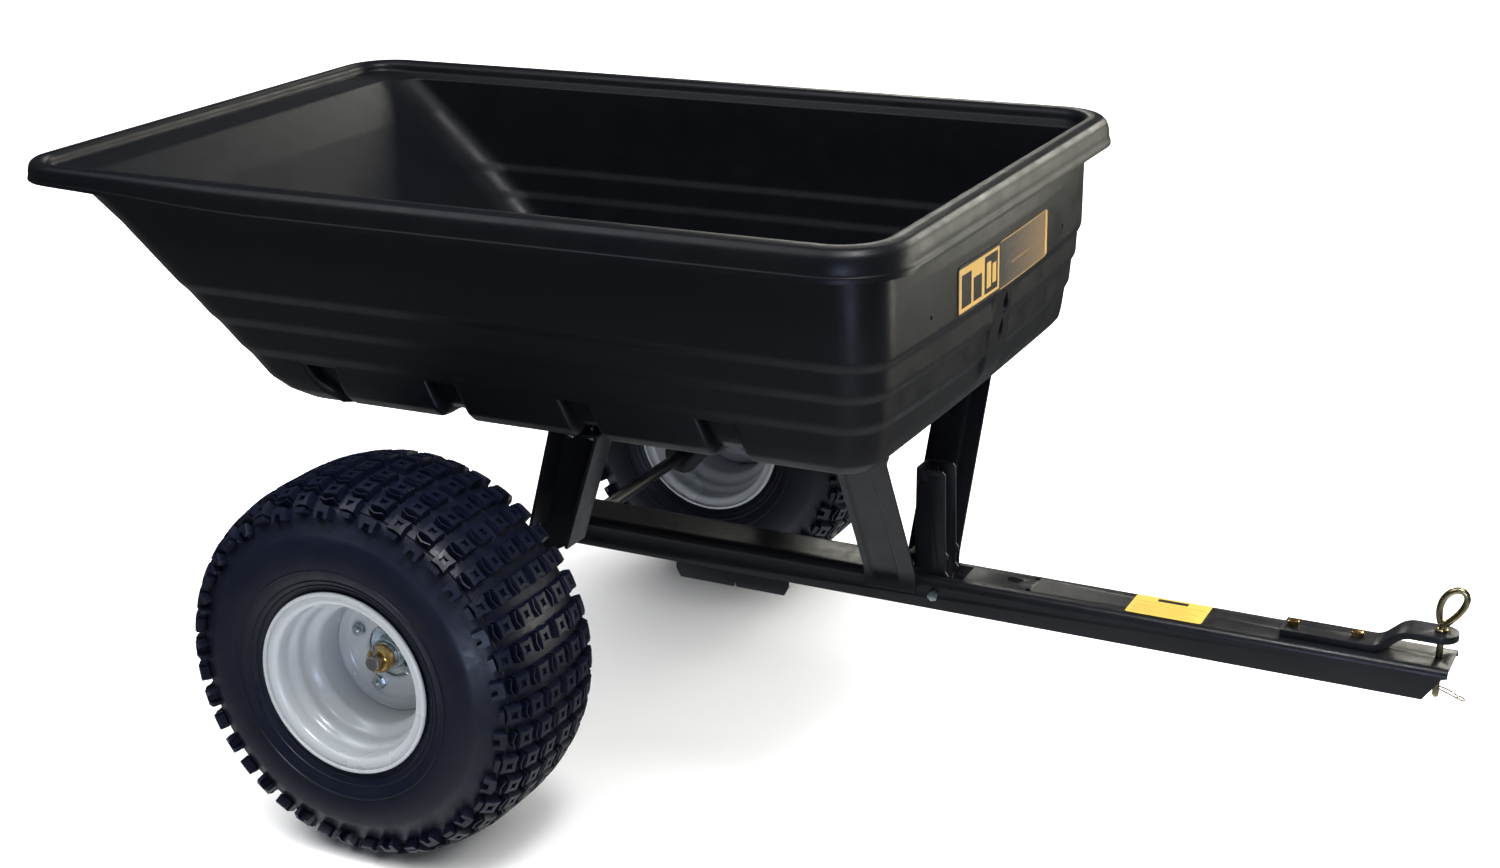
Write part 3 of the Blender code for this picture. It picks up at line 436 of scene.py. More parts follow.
def wire(points, radius, sides=16):
    """Round wire with domed ends along points in space."""
    line = [Vector(p) for p in points]
    work = bmesh.new()
    rings, normal = [], None
    ends = [(0, [(0.35, 0.92), (0.75, 0.62)]), (len(line) - 1, [(0.75, 0.62), (0.35, 0.92)])]
    for i, spot in enumerate(line):
        way = (line[min(i + 1, len(line) - 1)] - line[max(i - 1, 0)]).normalized()
        if normal is None:
            normal = way.orthogonal().normalized()
        normal = (normal - way * normal.dot(way)).normalized()
        across = way.cross(normal)
        stops = [(1.0, 0.0)]
        for end, dome in ends:
            if i == end:
                stops = dome + stops if end == 0 else stops + dome
        for share, out in stops:
            shift = way * (radius * out) * (-1 if i == 0 else 1)
            rings.append([work.verts.new(spot + shift + radius * share * (
                normal * math.cos(2 * math.pi * k / sides) + across * math.sin(2 * math.pi * k / sides)))
                for k in range(sides)])
    for a, b in zip(rings, rings[1:]):
        for k in range(sides):
            work.faces.new((a[k], a[(k + 1) % sides], b[(k + 1) % sides], b[k]))
    work.faces.new(rings[0][::-1])
    work.faces.new(rings[-1])
    return cleaned(work)


def soft_step(value, low, high):
    t = min(1.0, max(0.0, (value - low) / (high - low)))
    return t * t * (3 - 2 * t)


def window(value, low, high, edge):
    """1 between low and high, 0 outside, with soft edges this wide each way."""
    return soft_step(value, low - edge, low + edge) * (1 - soft_step(value, high - edge, high + edge))


# ---- tub ----
CREST_Z, CREST_HALF_W, CREST_FRONT, CREST_REAR, CREST_R = 0.5516, 0.401, 0.6086, -0.5885, 0.060
RIM_OUT, RIM_DROP = 0.030, 0.038
TAIL_TRIM, TAIL_LIFT = 0.40, 0.34
FLOOR_Z = 0.2625
# shares of RIM_OUT outwards and RIM_DROP down, from the lip over the crest
RIM_ROLL = [(1.00, 1.00), (1.00, 0.84), (0.935, 0.79), (0.925, 0.52), (0.84, 0.24), (0.62, 0.055),
            (0.27, 0.0), (-0.05, 0.02), (-0.24, 0.16), (-0.30, 0.42)]
# outer faces: height, half width, front, rear, plan corner radius, outward bow of the front
WALL_LEVELS = [
    (0.5280, 0.3865, 0.6085, -0.5440, 0.058, 0.004),
    (0.4800, 0.3840, 0.6080, -0.4810, 0.057, 0.010),
    (0.4065, 0.3810, 0.6075, -0.3990, 0.056, 0.011),
    (0.3960, 0.3765, 0.6025, -0.3870, 0.054, 0.011),
    (0.3675, 0.3745, 0.6015, -0.3565, 0.053, 0.012),
    (0.3570, 0.3700, 0.5965, -0.3445, 0.051, 0.012),
    (0.3285, 0.3675, 0.5945, -0.3150, 0.050, 0.012),
    (0.3180, 0.3630, 0.5895, -0.3030, 0.048, 0.012),
    (0.2900, 0.3595, 0.5860, -0.2760, 0.046, 0.009),
    (0.2750, 0.3570, 0.5835, -0.2510, 0.044, 0.006),
    (0.2660, 0.3500, 0.5765, -0.2200, 0.040, 0.003),
    (FLOOR_Z, 0.3360, 0.5630, -0.1800, 0.034, 0.0),
    (FLOOR_Z, 0.3230, 0.5530, -0.1700, 0.032, 0.0),
    (FLOOR_Z, 0.3080, 0.5430, -0.1600, 0.030, 0.0),
]
# recesses moulded across the lower wall: rear and front edge at their top
CHANNELS = ((-0.207, -0.152), (-0.012, 0.034), (0.180, 0.222), (0.366, 0.417))
CHANNEL_DEEP, CHANNEL_TOP, CHANNEL_LIFT, CHANNEL_LEAN = 0.014, 0.3160, 0.009, 0.020
CHANNEL_ROWS = (0.3173, 0.3165, 0.3155, 0.3147, 0.3095, 0.3025, 0.2955)
SIDE_JOINT, SIDE_FRONT = -0.100, 0.520
CORNER_STEPS, FRONT_SPANS, REAR_SPANS = 10, 26, 20
# columns across the front wall's middle pad, close together at its edges
PAD_HALF = [0.006, 0.012, 0.018, 0.024, 0.029, 0.0315, 0.0340, 0.0365, 0.040, 0.045, 0.052, 0.060]
PAD_COLUMNS = [-y for y in PAD_HALF[::-1]] + [0.0] + PAD_HALF
PAD_LOW, PAD_TOP = 0.285, 0.4065


def tub_levels():
    levels = []
    for out, drop in RIM_ROLL:
        reach = out * RIM_OUT
        levels.append((CREST_Z - drop * RIM_DROP, CREST_HALF_W + reach, CREST_FRONT + reach,
                       CREST_REAR - reach, CREST_R + reach, 0.0))
    for height, half, front, rear, radius, bow in WALL_LEVELS:
        lift = WALL_T if height == FLOOR_Z else 0.5 * WALL_T * (height < 0.28)
        levels.append((height + lift, half - WALL_T, front - WALL_T, rear + 1.4 * WALL_T,
                       radius - WALL_T, bow))
    levels = blended(levels, 0.0045, 3, closed=False)
    for height in CHANNEL_ROWS:
        k = next(i for i, level in enumerate(levels) if level[0] < height)
        above, below = levels[k - 1], levels[k]
        t = (above[0] - height) / (above[0] - below[0])
        levels.insert(k, tuple(a + (b - a) * t for a, b in zip(above, below)))
    return levels


def side_stations():
    """Columns along a side wall, front to rear, close together at the recesses' edges."""
    edges = [edge for pair in CHANNELS for edge in pair]
    offsets = (0.0012, 0.0024, 0.0035, 0.0050, 0.0075)
    near = edges + [edge + way * off for edge in edges for off in offsets for way in (1, -1)]
    far = [x for x in (0.508 - 0.0115 * k for k in range(66)) if min(abs(x - e) for e in edges) > 0.013]
    return sorted(near + [x for x in far if x > -0.262], reverse=True)


STATIONS = side_stations()
SIDE_REAR = -0.2715


def channel(station):
    """1 inside a moulded recess of the lower side wall, 0 between them."""
    return max(window(station, rear, front, 0.0030) for rear, front in CHANNELS)


def side_run(level, way):
    """Points of a side wall from its front corner to its rear one, sunk at the recesses."""
    height, half, front, rear, radius, _ = level
    first, last = front - radius, rear + radius
    fall = min(1.0, max(0.0, (CHANNEL_TOP - height) / (CHANNEL_TOP - FLOOR_Z)))
    squeeze = (SIDE_JOINT - last) / (SIDE_JOINT - SIDE_REAR)
    run = []
    for station in STATIONS:
        if station < SIDE_JOINT:
            x = SIDE_JOINT + (station - SIDE_JOINT) * squeeze
        else:
            ahead = max(0.0, (station - 0.44) / (SIDE_FRONT - 0.44))
            behind = soft_step(station, SIDE_JOINT, SIDE_JOINT + 0.06)
            x = station + CHANNEL_LEAN * fall * behind * (1 - min(1.0, ahead))
            x += (first - SIDE_FRONT) * min(1.0, ahead)
        depth = channel(station) * (1 - soft_step(height, CHANNEL_TOP - 0.0009, CHANNEL_TOP + 0.0009))
        depth *= soft_step(half, 0.300, 0.326)
        low = 1 - soft_step(height, FLOOR_Z + WALL_T + 0.001, 0.294)
        run.append((x, way * (half - CHANNEL_DEEP * depth), height + CHANNEL_LIFT * depth * low))
    return run


def front_point(x, y, z, bow):
    """Keeps the middle pad of the front wall proud of the lower two steps."""
    pad = window(y, -0.0340, 0.0340, 0.0025)
    if pad == 0 or z > PAD_TOP or z < PAD_LOW:
        return x, y, z
    reach = 0.6075 - WALL_T + bow - 0.15 * (PAD_TOP - z)
    target = x + (reach - x) * soft_step(z, PAD_LOW, PAD_LOW + 0.021)
    return x + (max(target, x) - x) * pad, y, z


def level_loop(height, half, front, rear, radius, bow):
    """One level of the tub's skin, anticlockwise from the front left corner."""
    centres = [(front - radius, half - radius), (rear + radius, half - radius),
               (rear + radius, radius - half), (front - radius, radius - half)]
    corners = [[(x, y, height) for x, y in arc(centre, radius, 90 * k, 90 * k + 90, CORNER_STEPS)]
               for k, centre in enumerate(centres)]
    level = (height, half, front, rear, radius, bow)
    straight = half - radius
    back = [(rear, straight * (1 - 2 * i / REAR_SPANS), height) for i in range(1, REAR_SPANS)]
    edge = PAD_HALF[-1]
    outer = [edge + (straight - edge) * i / FRONT_SPANS for i in range(1, FRONT_SPANS)]
    columns = [-y for y in outer[::-1]] + PAD_COLUMNS + outer
    face = [front_point(front + bow * (1 - (y / straight) ** 2), y, height, bow) for y in columns]
    return (corners[0] + side_run(level, 1) + corners[1] + back + corners[2] +
            side_run(level, -1)[::-1] + corners[3] + face)


def trimmed(x, y, z):
    """The rim's roll is narrower and shallower round the tail than along the front."""
    inward_x = max(0.0, CREST_REAR + CREST_R - x)
    inward_y = max(0.0, abs(y) - CREST_HALF_W + CREST_R)
    reach = math.hypot(inward_x, inward_y)
    if z < CREST_Z - RIM_DROP - 0.001 or reach <= CREST_R:
        return x, y, z
    share = soft_step(-x, 0.20, 0.56)
    pull = TAIL_TRIM * share * (reach - CREST_R) / reach
    return (x + inward_x * pull, y - math.copysign(inward_y * pull, y),
            z + (CREST_Z - z) * TAIL_LIFT * share)


def tub_mesh():
    loops = [level_loop(*level) for level in tub_levels()]
    count = len(loops[0])
    points = [trimmed(*p) for loop in loops for p in loop]
    faces = []
    for row in range(len(loops) - 1):
        for i in range(count):
            j = (i + 1) % count
            faces.append((row * count + i, row * count + j, (row + 1) * count + j, (row + 1) * count + i))
    last = (len(loops) - 1) * count
    faces.append(tuple(last + i for i in range(count)))
    mesh = bpy.data.meshes.new("tub")
    mesh.from_pydata(points, [], faces)
    if mesh.polygons[len(faces) - 1].normal.z < 0:
        mesh.flip_normals()
    body = linked("tub", mesh)
    shell = body.modifiers.new("wall", "SOLIDIFY")
    shell.thickness, shell.offset, shell.use_even_offset = WALL_T, -1, True
    bake(body)
    return taken(body)


def teardrop_tool(y, low, high, width):
    """A drop-shaped cutter for the pockets in the front pad."""
    outline = []
    for k in range(24):
        a = 2 * math.pi * k / 24
        v = 0.5 - 0.5 * math.cos(a)
        w = width / 2 * math.sin(a) * (1 - v) ** 0.45
        outline.append((y + w, low + (high - low) * v))
    return plate(outline, 0.03, FACE, (0.6130, 0, 0))


def make_tub():
    mesh = tub_mesh()
    tools = [teardrop_tool(0.010, 0.368, 0.397, 0.0230), teardrop_tool(0.006, 0.334, 0.364, 0.0200)]
    tools += [drum(0.0030, 0.56, 0.66, 20, FACE, (0, y, 0.4280)) for y in (-0.235, 0.235)]
    show("tub_shell", cut(mesh, *tools), POLY, "bed", ["tub"], BED, angle=50)


make_tub()


# ---- tyres ----
PITCHES, TREAD_R, TREAD_ROW, KNOB_DEEP = 21, 0.235, 0.0185, 0.0120
SIDEWALL_BEADS = ((0.1475, 0.1137), (0.1330, 0.1086), (0.1265, 0.1051))
# (height from the tyre's middle plane, radius) of the surface between the knobs
CARCASS = [(0.0, TREAD_R), (0.030, 0.2343), (0.055, 0.2308), (0.078, 0.2240), (0.0915, 0.2140),
           (0.0990, 0.2030), (0.1050, 0.1940), (0.1105, 0.1850), (0.1140, 0.1700), (0.1145, 0.1560),
           (0.1125, 0.1430), (0.1080, 0.1320), (0.1035, 0.1240), (0.1010, 0.1190)]
KNOB_TOPS = [(0.0, 0.2443), (0.036, 0.2440), (0.062, 0.2405), (0.084, 0.2345), (0.0995, 0.2245),
             (0.1075, 0.2120), (0.1115, 0.2000)]


def run_lengths(line):
    total, result = 0.0, [0.0]
    for a, b in zip(line, line[1:]):
        total += math.dist(a, b)
        result.append(total)
    return result


SMOOTH_CARCASS = [(p.x, p.y) for p in curved([(h, r, 0) for h, r in CARCASS], 6)]
SMOOTH_TOPS = [(p.x, p.y) for p in curved([(h, r, 0) for h, r in KNOB_TOPS], 6)]
TOP_RUNS = run_lengths(SMOOTH_TOPS)


def tread_point(theta, s, depth):
    """A point on the tyre: angle, distance across from the middle plane, depth below the knobs' tops."""
    side = -1 if s < 0 else 1
    s = min(abs(s), TOP_RUNS[-1] - 1e-6)
    i = next(k for k in range(len(TOP_RUNS) - 1) if TOP_RUNS[k + 1] >= s)
    t = (s - TOP_RUNS[i]) / (TOP_RUNS[i + 1] - TOP_RUNS[i])
    a, b = Vector(SMOOTH_TOPS[i]), Vector(SMOOTH_TOPS[i + 1])
    spot = a.lerp(b, t)
    way = (b - a).normalized()
    spot += Vector((way.y, -way.x)) * depth
    r, h = spot.y, side * spot.x
    return Vector((r * math.cos(theta), r * math.sin(theta), h))


def add_knob(work, theta, s, outline, depth, dimple=None):
    """A raised block: outline is a list of (along, across) metres around its centre."""
    def ring(scale, sink, points=outline):
        return [work.verts.new(tread_point(theta + u * scale / TREAD_R, s + v * scale, sink))
                for u, v in points]

    rings = [ring(1.12, depth), ring(1.03, 0.0014), ring(0.96, 0.0)]
    if dimple:
        rings += [ring(1.0, 0.0, dimple), ring(0.86, 0.0045, dimple)]
    count = len(outline)
    for a, b in zip(rings, rings[1:]):
        for k in range(count):
            j = (k + 1) % count
            work.faces.new((a[k], a[j], b[j], b[k]))
    work.faces.new(rings[-1])
    work.faces.new(rings[0][::-1])


def concave_square(half_u, half_v, pinch):
    """A square with sides drawn in at their middles."""
    corners = [(-half_u, -half_v), (half_u, -half_v), (half_u, half_v), (-half_u, half_v)]
    points = []
    for (u, v), (u2, v2) in zip(corners, corners[1:] + corners[:1]):
        points.append((u, v))
        points.append(((u + u2) / 2 * (1 - pinch), (v + v2) / 2 * (1 - pinch)))
    return points


KNOB = concave_square(0.0108, 0.0107, 0.13)
DIMPLE = concave_square(0.0047, 0.0044, 0.20)
TAIL = concave_square(0.0080, 0.0034, 0.0)
RIB = [(-0.0106, -0.0032), (0.0, 0.0006), (0.0106, -0.0032), (0.0106, -0.0015), (0.0, 0.0023),
       (-0.0106, -0.0015)]
SHOULDER = [(-0.0108, -0.0070), (0.0, -0.0086), (0.0108, -0.0070), (0.0112, 0.0092), (0.0060, 0.0096),
            (0.0042, 0.0010), (-0.0042, 0.0010), (-0.0060, 0.0096), (-0.0112, 0.0092)]


def tread():
    """All the knobs: odd and even rows half a pitch apart, with a rib beside each knob."""
    work = bmesh.new()
    step = 2 * math.pi / PITCHES
    for k in range(PITCHES):
        even, odd = (k + 0.5) * step, k * step
        for angle, rows in ((odd, (1, 3, 5)), (even, (0, 2, 4))):
            for row in rows:
                for way in (1, -1) if row else (1,):
                    add_knob(work, angle, way * row * TREAD_ROW, KNOB, KNOB_DEEP, DIMPLE)
        for way in (1, -1):
            rib = [(u, v * way) for u, v in RIB][::way]
            for angle, rows in ((odd, (2, 4)), (even, (1, 3, 5))):
                for row in rows:
                    add_knob(work, angle, way * row * TREAD_ROW, rib, KNOB_DEEP)
            add_knob(work, even, way * 0.1090, [(u, v * way) for u, v in SHOULDER][::way], 0.0125)
            add_knob(work, odd, way * 0.1085, TAIL, 0.0115)
    return cleaned(work)


def make_tyre(side):
    outer = [(r, h) for h, r in SMOOTH_CARCASS]
    inner = [(0.1045, 0.0960), (0.1045, 0.0880), (0.1250, 0.0930), (0.1700, 0.1050), (0.2200, 0.0860),
             (0.2300, 0.0)]
    profile = [(r, -h) for r, h in outer[::-1]] + outer[1:] + inner + [(r, -h) for r, h in inner[-2::-1]]
    beads = [lathe([(r, way * z) for r, z in ring_bead(radius, height)], 160)
             for way in (1, -1) for radius, height in SIDEWALL_BEADS]
    show("tyre_tread_" + side, joined(lathe(profile, 208), tread(), *beads), RUBBER, "wheel_" + side,
         ["tyre_" + side], WHEEL[side], angle=38)


def ring_bead(radius, height, size=0.0013):
    """Section of a thin raised ring on a sidewall."""
    return arc((radius, height), size, 0, 315, 7)


# ---- rims, discs, hubs ----
LUG_CIRCLE_R, LUG_TURN = 0.0508, 65.0
LUGS = arc((0, 0), LUG_CIRCLE_R, LUG_TURN, LUG_TURN + 270, 3)
AXLE_R, BORE_R, HOLE_R, SPLIT_PIN_Y = 0.0095, 0.0099, 0.0043, 0.5230


def rim_section():
    half = [(0.1128, 0.1072), (0.1163, 0.1062), (0.1160, 0.1020), (0.1010, 0.1018), (0.1003, 0.0790),
            (0.0935, 0.0715), (0.0918, 0.0560), (0.0795, 0.0450), (0.0790, 0.0)]
    line = half + [(r, -h) for r, h in half[-2::-1]]
    return folded(line, 0.0025, 0.0055, 5)


def hexagon(radius, low, high, spin=0.0, chamfer=0.0012, at=(0, 0)):
    """A hexagonal nut or head: the prism meets a cone, which rounds its corners."""
    prism = drum(radius, low, high, 6, LEVEL, (at[0], at[1], 0), 0.0, spin)
    flat = radius * math.cos(math.pi / 6)
    cone = [(0, low - 0.001), (radius + 0.001, low - 0.001), (radius + 0.001, high - chamfer),
            (flat * 0.97, high), (0, high)]
    return cut(prism, lathe(cone, 36, LEVEL, (at[0], at[1], 0), closed=False), operation="INTERSECT")


def stud(radius, low, high, at=(0, 0), pitch=0.0012):
    """A bolt's threaded end: turned rings stand for the thread."""
    profile, z = [(0, low)], low
    while z < high - 1.5 * pitch:
        profile += [(radius, z), (radius, z + 0.35 * pitch), (radius * 0.88, z + 0.7 * pitch)]
        z += pitch
    profile += [(radius * 0.92, z), (radius * 0.92, high - 0.0006), (radius * 0.72, high), (0, high)]
    return lathe(profile, 20, LEVEL, (at[0], at[1], 0), closed=False)


def flange_outline(count=160):
    points = []
    for k in range(count):
        a = 2 * math.pi * k / count
        lobe = 0.5 + 0.5 * math.cos(4 * (a - math.radians(LUG_TURN)))
        radius = 0.0310 + 0.0300 * lobe ** 1.6
        points.append((radius * math.cos(a), radius * math.sin(a)))
    return points


def make_rim(side):
    """Rim, its centre disc and the valve stem, which leans out of the rim's barrel."""
    place, body = WHEEL[side], "wheel_" + side
    rim = lathe(rim_section(), 144)
    lean = Matrix.Rotation(math.radians(20), 4, "Z") @ Matrix.Translation((0.0830, 0, 0.0500)) @ \
        Matrix.Rotation(math.radians(-40), 4, "Y")
    hole = drum(0.0050, -0.012, 0.012, 24)
    hole.transform(lean)
    show("wheel_rim_" + side, cut(rim, hole), PAINT, body, ["rim_" + side], place, angle=50)

    line = [(0.0355, -0.0012), (0.0370, 0.0), (0.0625, 0.0), (0.0660, 0.0031), (0.0762, 0.0031),
            (0.0774, 0.0060)]
    disc = cut(lathe(folded(line, 0.0032, 0.0030, 4), 144), *holes(HOLE_R, -0.01, 0.01, LUGS))
    show("wheel_centre_" + side, disc, PAINT, body, ["wheel_disc_" + side], place, angle=50)

    stem = [(0, -0.0085), (0.0058, -0.0085), (0.0062, -0.0080), (0.0062, -0.0050), (0.0046, -0.0035),
            (0.0046, 0.0010), (0.0062, 0.0022), (0.0058, 0.0060), (0.0040, 0.0130), (0.0038, 0.0160),
            (0.0043, 0.0163), (0.0043, 0.0222), (0.0036, 0.0230), (0, 0.0230)]
    show("valve_" + side, lathe(stem, 32, closed=False), NYLON, body, ["valve_stem_" + side],
         place @ lean)


def make_hub(side):
    """Flanged hub, welded on both faces, with a bush in each end."""
    place, body = WHEEL[side], "wheel_" + side
    tube = lathe([(0.0127, -0.0710), (0.0197, -0.0710), (0.0205, -0.0702), (0.0205, 0.0147),
                  (0.0197, 0.0155), (0.0127, 0.0155)], 64)
    flange = cut(plate(flange_outline(), 0.0040, LEVEL, (0, 0, -0.0040)), drum(0.0190, -0.02, 0.02, 48),
                 *holes(HOLE_R, -0.02, 0.02, LUGS, 20))
    weld = [lathe([(0.0203, z - 0.0005), (0.0232, z), (0.0203, z + w * 0.0030)], 64)
            for z, w in ((-0.0022, 1), (-0.0058, -1))]
    show("wheel_hub_" + side, joined(tube, flange, *weld), ZINC, body, ["hub_" + side], place)
    for where, low, high in (("outer", -0.0095, 0.0155), ("inner", -0.0710, -0.0460)):
        section = blended(ring_section(BORE_R, 0.0123, low, high), 0.0005, 2)
        show("bush_%s_%s" % (where, side), lathe(section, 48), NYLON, body,
             ["hub_bush_%s_%s" % (where, side)], place)


def make_lug_bolts(side):
    for number, (x, y) in enumerate(LUGS, start=1):
        washer = ring_section(0.0041, 0.0088, 0.0017, 0.0028)
        parts = [hexagon(0.0080, 0.0028, 0.0088, math.radians(17 * number), at=(x, y)),
                 stud(0.0039, -0.0066, 0.0125, (x, y)), lathe(washer, 32, LEVEL, (x, y, 0)),
                 drum(0.0075, -0.0118, -0.0064, 6, LEVEL, (x, y, 0), 0.0004)]
        show("lug_nut_%d_%s" % (number, side), joined(*parts), ZINC, "wheel_" + side,
             ["lug_bolt_%d_%s" % (number, side)], WHEEL[side])


for side in SIGN:
    make_tyre(side)
    make_rim(side)
    make_hub(side)
    make_lug_bolts(side)


# ---- axle hardware ----
def make_axle():
    """One bar in three lengths: painted in the middle, bare and drilled at its ends."""
    end, joint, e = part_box("axle")[1].y, 0.4, 0.0012
    middle_bar = [(0, -joint), (AXLE_R, -joint), (AXLE_R, joint), (0, joint)]
    show("axle_bar", lathe(middle_bar, 64, SIDE, (0, 0, AXLE.z), closed=False), STEEL, "chassis",
         ["axle"], CART)
    for side, w in SIGN.items():
        tip = [(0, joint), (AXLE_R, joint), (AXLE_R, end - e), (AXLE_R - e, end), (0, end)]
        bar = lathe([(r, -w * h) for r, h in tip], 64, SIDE, (0, 0, AXLE.z), closed=False)
        hole = drum(0.0022, AXLE.z - 0.02, AXLE.z + 0.02, 20, LEVEL, (0, w * SPLIT_PIN_Y, 0))
        show("axle_end_" + side, cut(bar, hole), BARE, "chassis", ["axle"], CART)


def make_axle_side(side):
    w = -SIGN[side]

    def turned(name, node, section, look):
        profile = [(r, w * h) for r, h in section]
        show(name + "_" + side, lathe(profile, 64, SIDE, (0, 0, AXLE.z)), look, "chassis",
             [node + "_" + side], CART)

    collar = [(BORE_R, 0.5048), (0.0163, 0.5048), (0.0168, 0.5060), (0.0168, 0.5150), (0.0150, 0.5180),
              (0.0130, 0.5195), (BORE_R, 0.5195)]
    turned("collar", "axle_collar", blended(collar, 0.0010, 3), GOLD)
    washer = [(BORE_R, 0.4992), (0.0184, 0.4992), (0.0185, 0.4995), (0.0185, 0.5013), (0.0170, 0.5017),
              (0.0170, 0.5020), (0.0184, 0.5023), (0.0184, 0.5041), (0.0182, 0.5044), (BORE_R, 0.5044)]
    turned("washer", "axle_washer", washer, ZINC)
    low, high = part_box("axle_spacer_" + side)
    near, far = sorted((abs(low.y), abs(high.y)))
    turned("spacer", "axle_spacer", blended(ring_section(BORE_R, 0.0140, near, far), 0.0006, 2), STEEL)
    y = SIGN[side] * SPLIT_PIN_Y
    eye = [(0.0036 * math.sin(a), 0.0185 - 0.0040 * math.cos(a)) for a in
           [math.radians(150 - 15 * k) for k in range(20)]]
    path = [(0.0028, 0.0128)] + eye[1:-1] + [(0, 0.0125), (0, 0.006), (0, 0), (0, -0.006), (0, -0.0125)]
    points = [(x, y, AXLE.z + z) for x, z in path]
    points += [(0.002, y + SIGN[side] * 0.0005, AXLE.z - 0.0160), (0.006, y, AXLE.z - 0.0215)]
    show("split_pin_" + side, wire(curved(points, 2), 0.0015, 12), BARE, "chassis",
         ["cotter_pin_" + side], CART)


make_axle()
for side in SIGN:
    make_axle_side(side)


# ---- brackets, arms, saddle ----
SHEET_T, GAP = 0.004, 0.0004
# heights that a drill through a bed tab starts and stops at
DRILL = (0.24, 0.275)
BRACKET_Y, BRACKET_FLANGE = 0.290, 0.045
TONGUE_W, TONGUE_H, TONGUE_T = 0.076, 0.0415, 0.0035
ARM_MIDDLE, ARM_W, ARM_STAGGER, ARM_TAB_Y = 0.495, 0.072, 0.0125, 0.197
SADDLE_REAR, SADDLE_FRONT = 0.458, 0.4905
BRACKET_BOLT_X = (0.170, 0.198)


def make_bracket(side):
    w = SIGN[side]
    under = FLOOR_Z - GAP
    ear = arc((0, 0), 0.028, 128, 318, 24)
    outline = ear + [(0.108, 0.073), (0.168, 0.106), (0.2195, under), (0.1500, under), (0.1120, 0.122)]
    web = plate(outline, SHEET_T, SIDE, (0, w * (BRACKET_Y + 0.5 * SHEET_T), 0))
    mid = w * (BRACKET_Y + 0.5 * BRACKET_FLANGE)
    t = SHEET_T
    strips = [[(-0.0100, 0.0300), (0.1120, 0.1220), (0.1500, under), (0.1500 + t, under),
               (0.1120 + t, 0.1205), (-0.0060, 0.0272)],
              [(0.1680, 0.1060), (0.2195, under), (0.2195 - t, under), (0.1680 - t, 0.1072)],
              [(0.1510, under), (0.2185, under), (0.2185, under - t), (0.1510, under - t)]]
    body = cut(web, *[plate(s, BRACKET_FLANGE, SIDE, (0, mid, 0)) for s in strips], operation="UNION")
    drills = [drum(AXLE_R + GAP, -0.5, 0.5, 40, SIDE)]
    drills += holes(HOLE_R, *DRILL, [(x, mid) for x in BRACKET_BOLT_X], 20)
    show("bracket_" + side, cut(body, *drills), STEEL, "bed", ["dump_bracket_" + side], BED,
         bevel=0.0007)


def make_arm(side):
    """Bent strap arm with a stiffening bead pressed along it."""
    w = SIGN[side]
    foot_y = TONGUE_W / 2 + GAP + 2 * TONGUE_T
    tab = FLOOR_Z - GAP - 0.5 * TONGUE_T
    path = [(foot_y, -0.0070), (foot_y, 0.0160), (0.1740, tab), (0.2150, tab)]
    line = [Vector(p) for p in blended(path, 0.012, 8, closed=False)]
    runs = run_lengths(line)
    dense = []
    for (a, b), (s0, s1) in zip(zip(line, line[1:]), zip(runs, runs[1:])):
        count = max(1, round((s1 - s0) / 0.0025))
        way = (b - a).normalized()
        dense += [(a.lerp(b, k / count), s0 + (s1 - s0) * k / count, way) for k in range(count)]
    dense.append((line[-1], runs[-1], (line[-1] - line[-2]).normalized()))
    middle_x = ARM_MIDDLE + w * ARM_STAGGER
    start, end = 0.018, runs[-1] - 0.058
    grids = []
    for face in (1, -1):
        grid = []
        for spot, s, way in dense:
            normal = Vector((way.y, -way.x))
            along = window(s, start, end, 0.006)
            row = []
            for u in [k / 36 for k in range(37)]:
                bead = along * window(u, 0.135, 0.655, 0.025)
                p = spot + normal * (face * TONGUE_T / 2 - 0.0030 * bead)
                row.append((middle_x + ARM_W * (u - 0.5), w * p.x, p.y))
            grid.append(row)
        grids.append(grid)
    tools = holes(HOLE_R, *DRILL, [(middle_x, w * ARM_TAB_Y)], 20)
    if w > 0:
        tools.append(block((0.5300, 0.03, -0.02), (0.56, 0.06, 0.0030)))
    show("arm_" + side, cut(slab(*grids), *tools), STEEL, "bed", ["front_arm_" + side], BED, bevel=0.0006)


def channel_bar(half, low, top, rear, front, radius, steps=8):
    """Channel open below, along the cart; half, low and top are those of its sheet's middle."""
    outline = folded([(-half, low), (-half, top), (half, top), (half, low)], TONGUE_T, radius, steps)
    return plate(outline, front - rear, FACE, ((rear + front) / 2, 0, 0))


def make_saddle():
    half = TONGUE_W / 2 + GAP + 0.5 * TONGUE_T
    top = TONGUE_TOP - AXLE.z + GAP - 0.0070 + 0.5 * TONGUE_T
    mesh = channel_bar(half, -0.0070, top, SADDLE_REAR, SADDLE_FRONT, 0.004)
    show("saddle", mesh, STEEL, "bed", ["latch_saddle"], BED, bevel=0.0006)


def make_bed_bolt(name, node, x, y):
    head = FLOOR_Z + WALL_T + GAP
    under = FLOOR_Z - SHEET_T - 3 * GAP
    dome = [(0, 0.0043), (0.0025, 0.0041), (0.0050, 0.0035), (0.0070, 0.0024), (0.0083, 0.0008),
            (0.0085, 0), (0, 0)]
    parts = [lathe([(r, head + h) for r, h in dome], 40, LEVEL, (x, y, 0), closed=False),
             drum(0.0038, under - 0.001, head + 0.0005, 24, LEVEL, (x, y, 0)),
             hexagon(0.0073, under - 0.0065, under, 0.4, at=(x, y)),
             stud(0.0038, under - 0.0095, under, (x, y))]
    show(name, joined(*parts), ZINC, "bed", [node], BED)


